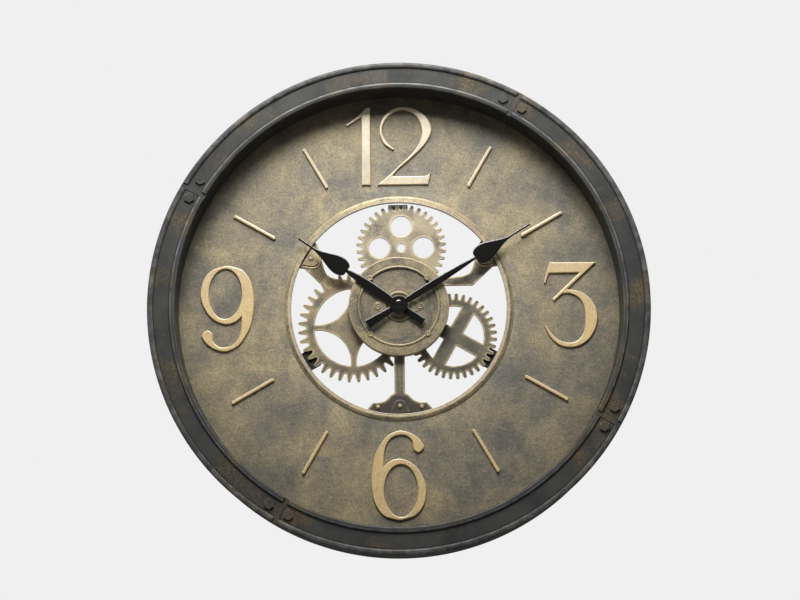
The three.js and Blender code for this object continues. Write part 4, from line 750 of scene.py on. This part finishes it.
def metal(name, dark, light, stretch=(1, 1, 1), seed=71):
    """Bare or plated metal with rolling marks"""
    paint = Paint(name, metallic=0.9)
    cloud = paint.noise(9, 4, seed=seed)
    marks = paint.noise(0.8, 3, 0.6, seed=seed + 1, stretch=stretch)
    colour = paint.mix(paint.math("MULTIPLY", paint.math("ADD", cloud, marks), 0.5), dark, light)
    return paint.done(colour, paint.grey(0.25, 0.45, marks), paint.bump(marks, 0.03, 0.5))


def board():
    """Circuit board with copper runs under green lacquer"""
    paint = Paint("board", specular_ior_level=0.5)
    runs = paint.bands(scale=90, distortion=5, detail=1, detail_scale=1.5)
    lines = paint.ramp(runs, (0.5, 0.0), (0.56, 1.0))
    colour = paint.mix(lines, (0.012, 0.075, 0.03), (0.035, 0.15, 0.05))
    return paint.done(colour, paint.grey(0.25, 0.4, paint.noise(3, 3, seed=81)), paint.bump(lines, 0.05, 0.6))


def winding():
    """Fine copper wire wound side by side"""
    paint = Paint("copper", metallic=0.85)
    wire = paint.bands(scale=900, distortion=0.4)
    colour = paint.mix(wire, (0.16, 0.05, 0.018), (0.62, 0.25, 0.1))
    return paint.done(colour, paint.grey(0.28, 0.42, paint.noise(2, 3, seed=91)), paint.bump(wire, 0.1, 0.8))


def cell():
    """Plain sleeve of a dry cell: blue-grey with one lighter band"""
    paint = Paint("cell", metallic=0.3, coat_weight=0.4, coat_roughness=0.15)
    along = paint.span(paint.axis("X"), -0.03, 0.03)
    colour = paint.ramp(along, (0.1, (0.3, 0.3, 0.29)), (0.11, (0.1, 0.13, 0.17)), (0.7, (0.12, 0.15, 0.19)),
                        (0.71, (0.38, 0.4, 0.4)), (0.88, (0.4, 0.42, 0.42)), (0.89, (0.1, 0.13, 0.17)))
    scuffs = paint.ramp(paint.noise(5, 4, seed=95), (0.3, 0.75), (0.7, 1.0))
    colour = paint.mix(0.3, colour, scuffs, "MULTIPLY")
    rough = paint.grey(0.28, 0.4, paint.noise(3, 3, seed=96))
    return paint.done(colour, rough, paint.bump(paint.noise(6, 2, seed=97), 0.05, 0.4))


GUNMETAL, PEWTER, GOLD, BRASS = gunmetal(), pewter(), pale_gold(), brass(tone=0.07)
MATT_GUNMETAL = gunmetal("matt_gunmetal", 0.0)
PALE_BRASS = brass("pale_brass", 0.11, pale=1.0)
BROWN_BRASS = brass("brown_brass", -0.06, grainy=0.6, cloudy=0.45)
# The left strut's brass is a lighter copy: painted light on its arm, which bends away from the lamp
LIT_BRASS, GEAR_BRASS = brass("lit_brass", 0.2), brass("gear_brass", 0.09, pale=0.5)
RING_BRASS = brass("ring_brass", 0.02, grainy=0.6)
SHADED_BRASS = brass("shaded_brass", 0.06, dark_below=(-42, 24, 0.5))
BRUSHED_BRASS = brass("brushed_brass", 0.04, glow=0.12, grainy=0.3)
# The bottom strut's brass is darker below a height, on its foot
DARK_FOOT = brass("dark_foot_brass", 0.02, dark_below=(-86, 6, 1.0))
# The top tab gets a lighter copy of the dark iron: painted light on a tab that lies in the dial's shade
IRON, LIT_IRON = dark_iron(), dark_iron("lit_iron", (0.07, 0.076, 0.08), (0.14, 0.145, 0.15))
BLACK, GLOSS_BLACK = black_paint(), black_paint("gloss_black", (0.1, 0.16), 0.8)
BLACK_PLASTIC = plastic("black_plastic", (0.012, 0.012, 0.013), (0.02, 0.02, 0.021))
WHITE_PLASTIC = plastic("white_plastic", (0.66, 0.64, 0.58), (0.76, 0.75, 0.7), seed=65)
STEEL = metal("steel", (0.34, 0.34, 0.33), (0.55, 0.55, 0.54), stretch=(0.15, 1, 1))
BRIGHT_BRASS = metal("bright_brass", (0.45, 0.3, 0.09), (0.72, 0.52, 0.2), seed=75)

# Rim: four segments with rounded beads; a lapped end has a flat strap over the joint

RIM_INNER, RIM_RADIUS, BEAD, BAND, STRAP_FRONT, SHEET = 222.5, 250.0, 5.6, 2.2, 1.6, 2.0
RIM_BACK = depths("rim_segment_top")[1]
DIAL_INNER, DIAL_RADIUS = 112, 232
LIP_BACK = DIAL_FRONT - 0.3
BAND_MIDDLE = (RIM_INNER + RIM_RADIUS) / 2


def rim_corners(strap):
    """Corners of the rim's section; over a strap the rolled beads and the band become one flat face"""
    bead = [(0, 1.7, 0.7), (0.9, 0.4, 0.8), (2.6, 0, 0.9), (4.5, 0.15, 0.7),
            (BEAD, 1.0, 0.5), (BEAD, BAND, 0.4)]
    if strap:
        flat = (0, 0.9, 2.6, 4.5, BEAD - 0.3, BEAD + 0.3)
        bead = [(across, STRAP_FRONT, corner[2]) for across, corner in zip(flat, bead)]
    return [
        (RIM_RADIUS, RIM_BACK, 0.5),
        *[(RIM_RADIUS - across, depth, setback) for across, depth, setback in bead],
        *[(RIM_INNER + across, depth, setback) for across, depth, setback in bead[::-1]],
        (RIM_INNER, LIP_BACK, 0.3), (DIAL_RADIUS, LIP_BACK, 0.3), (DIAL_RADIUS, LIP_BACK - SHEET, 0.3),
        (RIM_INNER + SHEET, LIP_BACK - SHEET, 0.4), (RIM_INNER + SHEET, BAND + SHEET, 0.4),
        (RIM_RADIUS - SHEET, BAND + SHEET, 0.4), (RIM_RADIUS - SHEET, RIM_BACK, 0.5),
    ]


def scuffed_with_painted_light(outline):
    """Section with painted shade on the inner wall behind the bead, and with rubbing and a painted highlight on
    the beads, most on a shoulder
    """
    result = []
    for r, d, wear_and_painted_light in outline:
        if r < RIM_INNER + 0.1 and d > 1.5:
            wear_and_painted_light = -0.5
        elif r > RIM_RADIUS - BEAD + 0.3 and d < 1.2:
            wear_and_painted_light = max(wear_and_painted_light, 0.6)
        elif RIM_INNER + 3.7 < r < RIM_INNER + BEAD - 0.1 and d < 0.8:
            wear_and_painted_light = 0.75
        result.append((r, d, wear_and_painted_light))
    return result


RIM_SECTION = scuffed_with_painted_light(profile(rim_corners(False)))
STRAP_SECTION = scuffed_with_painted_light(profile(rim_corners(True), like=rim_corners(False)))


def arc(length):
    """Clock angle of a length along the band"""
    return degrees(length / BAND_MIDDLE)


STRAP, JOINT_HALF, END_ROUND, BOLT_AT = 4.8, 0.04, 0.4, 10.843
TONGUE, TONGUE_INNER, TONGUE_OUTER, TONGUE_BACK = 7.15, 229.6, 242.9, BAND + 2 * SHEET + 0.3


def tongue(front, rounding):
    """Section of the tongue that reaches behind the next segment"""
    corners = [(TONGUE_INNER, front, rounding), (TONGUE_OUTER, front, rounding),
               (TONGUE_OUTER, TONGUE_BACK, 0.4), (TONGUE_INNER, TONGUE_BACK, 0.4)]
    return profile(corners, fade=0.5)


def rim_segment(name, start, lap_start, lap_end):
    """Quarter of the rim from a clock angle on, with a strap and a tongue where it laps its neighbour"""
    end = start + 90
    first, last = start + arc(JOINT_HALF), end - arc(JOINT_HALF)
    stations = []
    for at_start, lapped in ((True, lap_start), (False, lap_end)):
        edge, sense = (first, 1) if at_start else (last, -1)
        section = STRAP_SECTION if lapped else RIM_SECTION
        run = [(edge, shrunk(section, END_ROUND)), (edge + sense * arc(END_ROUND), section)]
        if lapped:
            run.append((edge + sense * arc(STRAP - 0.3), STRAP_SECTION))
            run.append((edge + sense * arc(STRAP), shrunk(RIM_SECTION, 0.3, -0.3)))
            run.append((edge + sense * arc(STRAP + 0.3), RIM_SECTION))
        stations.append(run)
    head, tail = stations
    low, high = head[-1][0], tail[-1][0]
    inner = [(low + (high - low) * k / 64, RIM_SECTION) for k in range(1, 64)]
    shell = Shell()
    shell.lathe(head + inner + tail[::-1])
    for joint, sense, lapped in ((start, 1, lap_start), (end, -1, lap_end)):
        if lapped:
            reach = arc(BOLT_AT + TONGUE)
            near, far = tongue(BAND + SHEET - 0.02, 0.1), tongue(BAND + SHEET + 0.3, 0.4)
            spans = [(-1, far), (-0.5, far), (-0.01, far), (0.02, near), (0.5, near), (1, near)]
            runs = [(joint + sense * share * reach, outline) for share, outline in spans]
            shell.lathe(runs[::sense])
    rim = piece(name, shell, GUNMETAL)
    second_finish(rim, MATT_GUNMETAL, RIM_RADIUS - 0.4, RIM_RADIUS)


for name, start, lap_start, lap_end in (
    ("rim_segment_right", 30, True, False), ("rim_segment_bottom", 120, True, True),
    ("rim_segment_left", 210, False, True), ("rim_segment_top", 300, False, False),
):
    rim_segment(name, start, lap_start, lap_end)


FLATS, HEAD, SHANK, PITCH, THREAD, AROUND = 9.6, 1.7, 3.0, 1.0, 0.45, 72


def bolt(name, angle):
    """Hex bolt with a chamfered head and a threaded shank"""
    x, z = clock(angle, BAND_MIDDLE)
    front, back = depths(name)
    head_back = front + HEAD

    def hexagon(share, size):
        places = []
        for k in range(AROUND):
            turn = 360 * k / AROUND
            corner = min(FLATS / 2 / cos(radians(turn % 60 - 30)), FLATS / 2 * 1.14)
            along, rise = clock(turn, (share * corner + (1 - share) * FLATS / 2) * size)
            places.append((x + along, z + rise))
        return places

    shell = Shell()
    # Painted shade on the head's sides, darkest under it; the chamfered front is rubbed bright, partly a
    # painted highlight
    stages = [(head_back, 1, 0.98, -0.95), (head_back - 0.2, 1, 1, -0.9), (front + 0.7, 1, 1, -0.5),
              (front + 0.45, 1, 1, 0.1), (front + 0.2, 1, 0.975, 0.55), (front, 0.9, 0.93, 0.6),
              (front, 0.7, 0.8, 0.5), (front, 0, 0.5, 0.45)]
    rings = [shell.level(hexagon(share, size), depth, wear_and_painted_light) for depth, share, size, wear_and_painted_light in stages]
    shell.stack(rings)
    shell.close(rings[-1], at(x, front, z))
    thread = [(head_back, SHANK)]
    depth = head_back + PITCH
    while depth < back - PITCH:
        thread += [(depth, SHANK), (depth + PITCH / 2, SHANK - THREAD)]
        depth += PITCH
    thread += [(back - 0.6, SHANK), (back, SHANK - 0.6)]
    order = [rings[0]]
    for depth, radius in thread:
        ring = shell.level(outline_circle(x, z, radius, AROUND)[::-1], depth)
        order.append(ring[-1:] + ring[:-1])
    shell.stack(order)
    shell.close(order[-1], at(x, back, z))
    piece(name, shell, GUNMETAL, sharp=30)


for joint in range(4):
    for side, sense in enumerate((-1, 1)):
        bolt(f"rim_bolt_{2 * joint + side + 1}", 30 + 90 * joint + sense * arc(BOLT_AT))

# Dial and the rolled ring round its opening

shell = Shell()
dial_section = profile([
    (DIAL_INNER, DIAL_FRONT, 0.3), (DIAL_RADIUS, DIAL_FRONT, 0.3),
    (DIAL_RADIUS, DIAL_BACK, 0.3), (DIAL_INNER, DIAL_BACK, 0.3),
], steps=2, fade=6)
shell.wheel(dial_section, 180)
piece("dial_plate", shell, PEWTER)

ring_front, ring_back = depths("opening_ring")
shell = Shell()
# Radii of the opening, of the ring's pale inner strip, a painted reflection of its inner edge, of the ring and
# of its sleeve in the dial, and where the ring's shoulders and its crest begin
OPENING, STRIP, RING_RADIUS, RING_SEAT = 109, 110.8, 116, 111.7
SHOULDER, CREST, OUTER_SHOULDER = 110.6, 112.2, 114.9
ring_section = profile([
    (OPENING, ring_back, 0.3), (OPENING, ring_front + 0.5, 0.2), (109.4, ring_front + 0.15, 0.2),
    (STRIP, ring_front + 0.15, 0.2), (111.3, ring_front, 0.4), (113.4, ring_front, 0.8),
    (115.2, ring_front + 0.8, 0.8), (RING_RADIUS, ring_front + 1.6, 0.3), (RING_RADIUS, DIAL_FRONT - 0.3, 0.1),
    (RING_SEAT, DIAL_FRONT - 0.3, 0.2), (RING_SEAT, ring_back, 0.3),
], fade=0.6)


def ring_rubs_and_highlights(radius, depth, wear_and_painted_light):
    """Marks on the front of the opening ring: rubbing and a painted highlight on both shoulders, and less on
    the crest
    """
    if depth > ring_front + 1.5:
        return wear_and_painted_light
    if radius > OUTER_SHOULDER or SHOULDER < radius < CREST:
        return 0.95
    return 0.7 if radius < SHOULDER else 0.35


shell.wheel([(r, d, ring_rubs_and_highlights(r, d, w)) for r, d, w in ring_section], 200)
ring = piece("opening_ring", shell, RING_BRASS)
# The pale inner strip is a painted reflection of the ring's inner edge
second_finish(ring, PALE_BRASS, OPENING + 0.02, STRIP)

# Numerals and hour bars

# Angle of a corner that stays, step along a curve and rounding of a corner
CURVED, PLAIN = (40, 1.0, 1.8), (48, 1.0, 0.35)
# The front bevel is marked for its golden-brown colour and a painted highlight where it faces up; the foot is
# marked for painted shade at the base
for name in ("numeral_12_one", "numeral_12_two", "numeral_3", "numeral_6", "numeral_9"):
    smoothing = CURVED if name in ("numeral_6", "numeral_9") else PLAIN
    flat_piece(name, GOLD, "pale_gold", smoothing, 0.85, 0.1, ((0.3, 0.5), (0.9, 0.0)), foot=-1, worn=-0.35)
for hour in (1, 2, 4, 5, 7, 8, 10, 11):
    flat_piece(f"hour_bar_{hour}", GOLD, "pale_gold", (60, 0.6), 1.0, 0.1, ((0.3, 0.4),),
               steps=5, foot=-1, worn=-0.35)

# Struts with riveted feet; the left one bends back beyond its foot and passes behind a gear

strut_front, strut_back = DIAL_BACK + 0.3, depths("strut_right")[1]
WEAR_FADE = ((1.3, 0.5), (3.2, 0.0))
ARCH_PROUD, LOW_ARCH_PROUD, LIP_PROUD, GROOVE, LIP, LIP_REACH = 1.4, 0.8, 0.7, 1.1, 1.8, 108.4
ARM_RUN, BEND_START, BEND_END = Vector((0.733, 0, -0.680)), -92.3, -77.1
BEND_DEPTH = depths("strut_left")[1] - strut_back


def bent_arm(work):
    """Sets the arm back between two fold lines across it"""
    easing = 1.2
    folds = [line + shift for line in (BEND_START, BEND_END) for shift in (-easing, 0, easing)]
    for fold_at in folds:
        parts = work.verts[:] + work.edges[:] + work.faces[:]
        bmesh.ops.bisect_plane(work, geom=parts, dist=1e-7, plane_co=ARM_RUN * fold_at * MM, plane_no=ARM_RUN)
    levels = [0, 0, 0.02, 0.98, 1, 1]
    for point in work.verts:
        point.co.y += BEND_DEPTH * MM * float(np.interp(point.co.dot(ARM_RUN) / MM, folds, levels))


def spread(loop, amount, limit):
    """Loop set out by an amount and cut off along a circle round the hand axis"""
    wide = filled(loop - inward(loop) * amount, 0.4)
    inside = norm(wide, axis=1) < limit
    first = next(i for i in range(len(wide)) if inside[i] and not inside[i - 1])
    kept = np.roll(wide, -first, axis=0)[:int(np.sum(inside))]
    start, end = (atan2(x, z) for x, z in (kept[-1], kept[0]))
    return np.array([*kept, *[clock(degrees(a), limit) for a in np.linspace(start, end, 24)]])


def mirrored(loops):
    """Loops with left and right exchanged"""
    return turned_in([loop * (-1, 1) for loop in loops])


for name, like, angle, rivets, material in (
    ("strut_bottom", "strut_bottom", 180, ((180, 8.2), (167.8, 5.2), (192.2, 5.2)), DARK_FOOT),
    ("strut_right", "strut_right", 60, ((60, 6.2),), BROWN_BRASS),
    ("strut_left", "strut_right", 300, ((300, 6.2),), LIT_BRASS),
):
    bottom, left = angle == 180, angle == 300
    arm, arch = outlines(like, strut_back), outlines(like, strut_front - LOW_ARCH_PROUD)
    if left:
        arm, arch = mirrored(arm), mirrored(arch)
    shell = Shell()
    shell.plate([smooth(loop, 30, 1.2, 0.6) for loop in arm], strut_front, strut_back, 0.5, 0.2, WEAR_FADE)
    arch = smooth(turned_in(arch)[0], 40, 1.0, 0.4)
    proud = LOW_ARCH_PROUD if bottom else ARCH_PROUD
    shell.plate([arch], strut_front - proud, strut_front + 0.3, 0.5, 0.05, ((1.0, 0.0),), foot=-0.9,
                worn=0.6 if bottom else 1.0)
    if not bottom:
        lip = turned_in([spread(arch, GROOVE + LIP, LIP_REACH), spread(arch, GROOVE, LIP_REACH - 1.2)])
        shell.plate(lip, strut_front - LIP_PROUD, strut_front + 0.3, 0.5, 0.05, ((0.3, 0.5),), foot=-0.9)
    for rivet_angle, inset in rivets:
        x, z = clock(rivet_angle, OPENING - inset)
        base = strut_front - proud if rivet_angle == angle else strut_front
        shell.dome(x, z, base, 2.4, 1.6)
    piece(name, shell, material, fold=bent_arm if left else None)

# Hub

hub_front, hub_back = DIAL_FRONT - 5.5, depths("hub_ring")[1]
HUB_INNER, HUB_BORE, HUB_RADIUS = 39.5, 48.8, 50.8
hub_section = profile([
    (HUB_INNER, hub_front + 1.2, 0.2), (HUB_INNER, hub_front - 0.4, 0.4), (40.6, hub_front - 0.7, 0.5),
    (41.6, hub_front - 0.3, 0.4), (41.8, hub_front, 0.2), (HUB_RADIUS, hub_front, 1.0),
    (HUB_RADIUS, hub_back, 0.4), (HUB_BORE, hub_back, 0.3), (HUB_BORE, hub_front + 1.2, 0.3),
], fade=1.2)
shell = Shell()
shell.wheel(hub_section, 144)
for angle in (45, 135, 225, 315):
    x, z = clock(angle, 40.75)
    shell.washer(x, z, hub_front - 0.4, 1.3, 2.8, 0.85)
piece("hub_ring", shell, BRASS)

plate_back = depths("hub_plate")[1]
plate_front = plate_back - 1.6
PLATE_HOLE, PLATE_RADIUS, EAR_AT, EAR_ROUND = 4.3, 48.5, 21, 4.4
plate_section = profile([
    (PLATE_HOLE, plate_front, 0.2), (12.2, plate_front, 0.4), (13.1, plate_front - 1, 0.6),
    (14.9, plate_front - 1, 0.6), (15.8, plate_front, 0.5), (PLATE_RADIUS, plate_front, 0.3),
    (PLATE_RADIUS, plate_back, 0.3), (PLATE_HOLE, plate_back, 0.2),
], fade=0.8)
shell = Shell()
shell.wheel(plate_section, 120)
for side in (-1, 1):
    tip = [(EAR_AT + EAR_ROUND * cos(radians(t)), EAR_ROUND * sin(radians(t)))
           for t in range(-60, 61, 15)]
    ear = np.array([(side * px, pz) for px, pz in [(14.2, -6.4)] + tip + [(14.2, 6.4)]])
    shell.plate(turned_in([ear]), plate_front - 0.6, plate_front + 0.4, 0.5, 0.05, ((0.8, 0.0),), foot=-0.2)
    shell.washer(side * EAR_AT, 0, plate_front - 0.6, 1.7, 3.2, 0.8)
piece("hub_plate", shell, BRUSHED_BRASS)

# Decorative gears

# Gear walls are marked as rubbed gold: partly wear, partly painted light on walls that face away from the lamp
for name, material in (("gear_top", GEAR_BRASS), ("gear_left", SHADED_BRASS), ("gear_right", BROWN_BRASS)):
    flat_piece(name, material, "antique_brass", (26, 1.2, 1.6), 0.5, 0.3, WEAR_FADE, foot=0.6)

# Hands and cap

for name, body in (("minute_hand", "minute"), ("hour_hand", "hour")):
    flat_piece(name, BLACK, "black_paint", (36, 1.0, 0.3), 0.9, 0.2, ((0.4, 0.0),), body, drop=0.38)

cap_front, cap_back = depths("hand_cap")
shell = Shell()
CAP, KNOB, KNOB_BASE = 9, 5, cap_back - 1.85
flank = [(cap_back, CAP - 0.3), (cap_back - 0.2, CAP), (cap_back - 1.5, CAP), (cap_back - 1.72, CAP - 0.08),
         (cap_back - 1.8, CAP - 0.3), (KNOB_BASE, KNOB + 1.5), (KNOB_BASE, KNOB + 0.3)]
for k in range(9):
    turn = pi / 2 * k / 9
    flank.append((KNOB_BASE - (KNOB_BASE - cap_front) * sin(turn), KNOB * cos(turn)))
rings = [shell.level(outline_circle(0, 0, radius, 64), depth) for depth, radius in flank]
shell.stack(rings)
shell.close(rings[0], at(0, cap_back, 0))
shell.close(rings[-1], at(0, cap_front, 0))
piece("hand_cap", shell, GLOSS_BLACK, "minute")

# CAD nodes that stay: they get a procedural material, and those with a bevel size get broken edges

KEPT = (
    (STEEL, 0.3, "hanger movement_nut"), (LIT_IRON, 0.3, "gear_tab_top"),
    (IRON, 0.3, "gear_tab_right gear_tab_left"), (BLACK_PLASTIC, 0.3, "movement_front_case movement_back_case"),
    (cell(), 0.5, "battery"), (STEEL, 0.1, "battery_contact_positive battery_contact_negative"),
    (BRIGHT_BRASS, 0, "minute_arbor centre_wheel third_wheel"), (WHITE_PLASTIC, 0.2, "setting_knob"),
    (WHITE_PLASTIC, 0, "minute_wheel hour_wheel seconds_wheel intermediate_wheel"),
    (STEEL, 0, "rotor stator"), (winding(), 0, "drive_coil"), (board(), 0.1, "circuit_board"),
)
for name, material, bevel in [(name, *finish) for *finish, names in KEPT for name in names.split()]:
    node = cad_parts[name]
    node.data.materials.clear()
    node.data.materials.append(material)
    weld = node.modifiers.new("join_corners", "WELD")
    weld.merge_threshold = 2e-6
    if bevel:
        broken = node.modifiers.new("broken_edges", "BEVEL")
        broken.width, broken.segments = bevel * MM, 2
        broken.limit_method, broken.angle_limit = "ANGLE", radians(40)
    node.modifiers.new("even_normals", "WEIGHTED_NORMAL").keep_sharp = True

# Camera at the photograph's angle

CAMERA_AT, LOOKS_AT, ROLL = Vector(at(6.1, -1515.6, -329.4)), Vector(at(1.3, 0, 0.3)), radians(-0.64)
lens = bpy.data.cameras.new("camera")
lens.lens, lens.sensor_width, lens.sensor_fit = 70.43, 36, "HORIZONTAL"
camera = placed("camera", lens)
view = (LOOKS_AT - CAMERA_AT).to_track_quat("-Z", "Y").to_matrix().to_4x4()
camera.matrix_world = Matrix.Translation(CAMERA_AT) @ view @ Matrix.Rotation(ROLL, 4, "Z")
bpy.context.scene.camera = camera

# Light: one tall soft box above the front, a narrow lamp on the top gear's teeth, a dark room before the clock
# and a pale wall behind it


def lamp(name, kind, place, target, **settings):
    """Lamp at a place, turned towards a target"""
    data = bpy.data.lights.new(name, kind)
    for key, value in settings.items():
        setattr(data, key, value)
    obj = placed(name, data)
    obj.location = place
    obj.rotation_mode = "QUATERNION"
    obj.rotation_quaternion = (Vector(target) - Vector(place)).to_track_quat("-Z", "Y")
    obj.visible_camera = False


lamp("key", "AREA", (-0.08, -0.729, 1.41), (-0.08, 0.0, 1.37), energy=57, shape="RECTANGLE",
     size=0.626, size_y=1.53)
lamp("accent", "SPOT", (0.0, -1.2, -0.15), (0.004, 0.0065, 0.104), energy=26, spot_size=radians(3.6),
     spot_blend=1.0, shadow_soft_size=0.03)

world = bpy.data.worlds.new("studio")
bpy.context.scene.world = world
world.use_nodes = True
PALE, ROOM, FILL = 0.871, 0.07, 0.4
sky = Nodes(world.node_tree)
path = sky.node("LightPath").outputs
behind = sky.span(sky.axis("Y", "Generated"), -0.1, 0.1)
mirror = sky.math("MAXIMUM", path["Is Glossy Ray"], path["Is Transmission Ray"])
around = sky.grey(ROOM, sky.grey(FILL, PALE, mirror), behind)
background = sky.tree.nodes["Background"].inputs
sky.put(background["Color"], (1, 1, 1))
sky.put(background["Strength"], sky.grey(around, PALE, path["Is Camera Ray"]))

FLOOR, REACH = -1.3, 80
floor_mesh = bpy.data.meshes.new("floor")
corners = [(-REACH, -REACH, FLOOR), (REACH, -REACH, FLOOR), (REACH, REACH, FLOOR), (-REACH, REACH, FLOOR)]
floor_mesh.from_pydata(corners, [], [(0, 1, 2, 3)])
floor = placed("floor", floor_mesh)
pale = Paint("pale_floor")
floor_mesh.materials.append(pale.done(
    pale.mix(pale.noise(400, 3, seed=99), (0.78, 0.78, 0.78), (0.82, 0.82, 0.82)), 0.8,
    pale.bump(pale.noise(3, 2, seed=98), 0.1, 0.3)))
glow = pale.node("Emission", {"Strength": PALE}).outputs["Emission"]
seen = pale.math("MULTIPLY", pale.node("LightPath").outputs["Is Camera Ray"], 0.85)
blend = pale.node("MixShader", enumerate((seen, pale.shader.outputs["BSDF"], glow)))
pale.put(pale.tree.nodes["Material Output"].inputs["Surface"], blend.outputs["Shader"])

bpy.context.scene.view_settings.view_transform = "Standard"
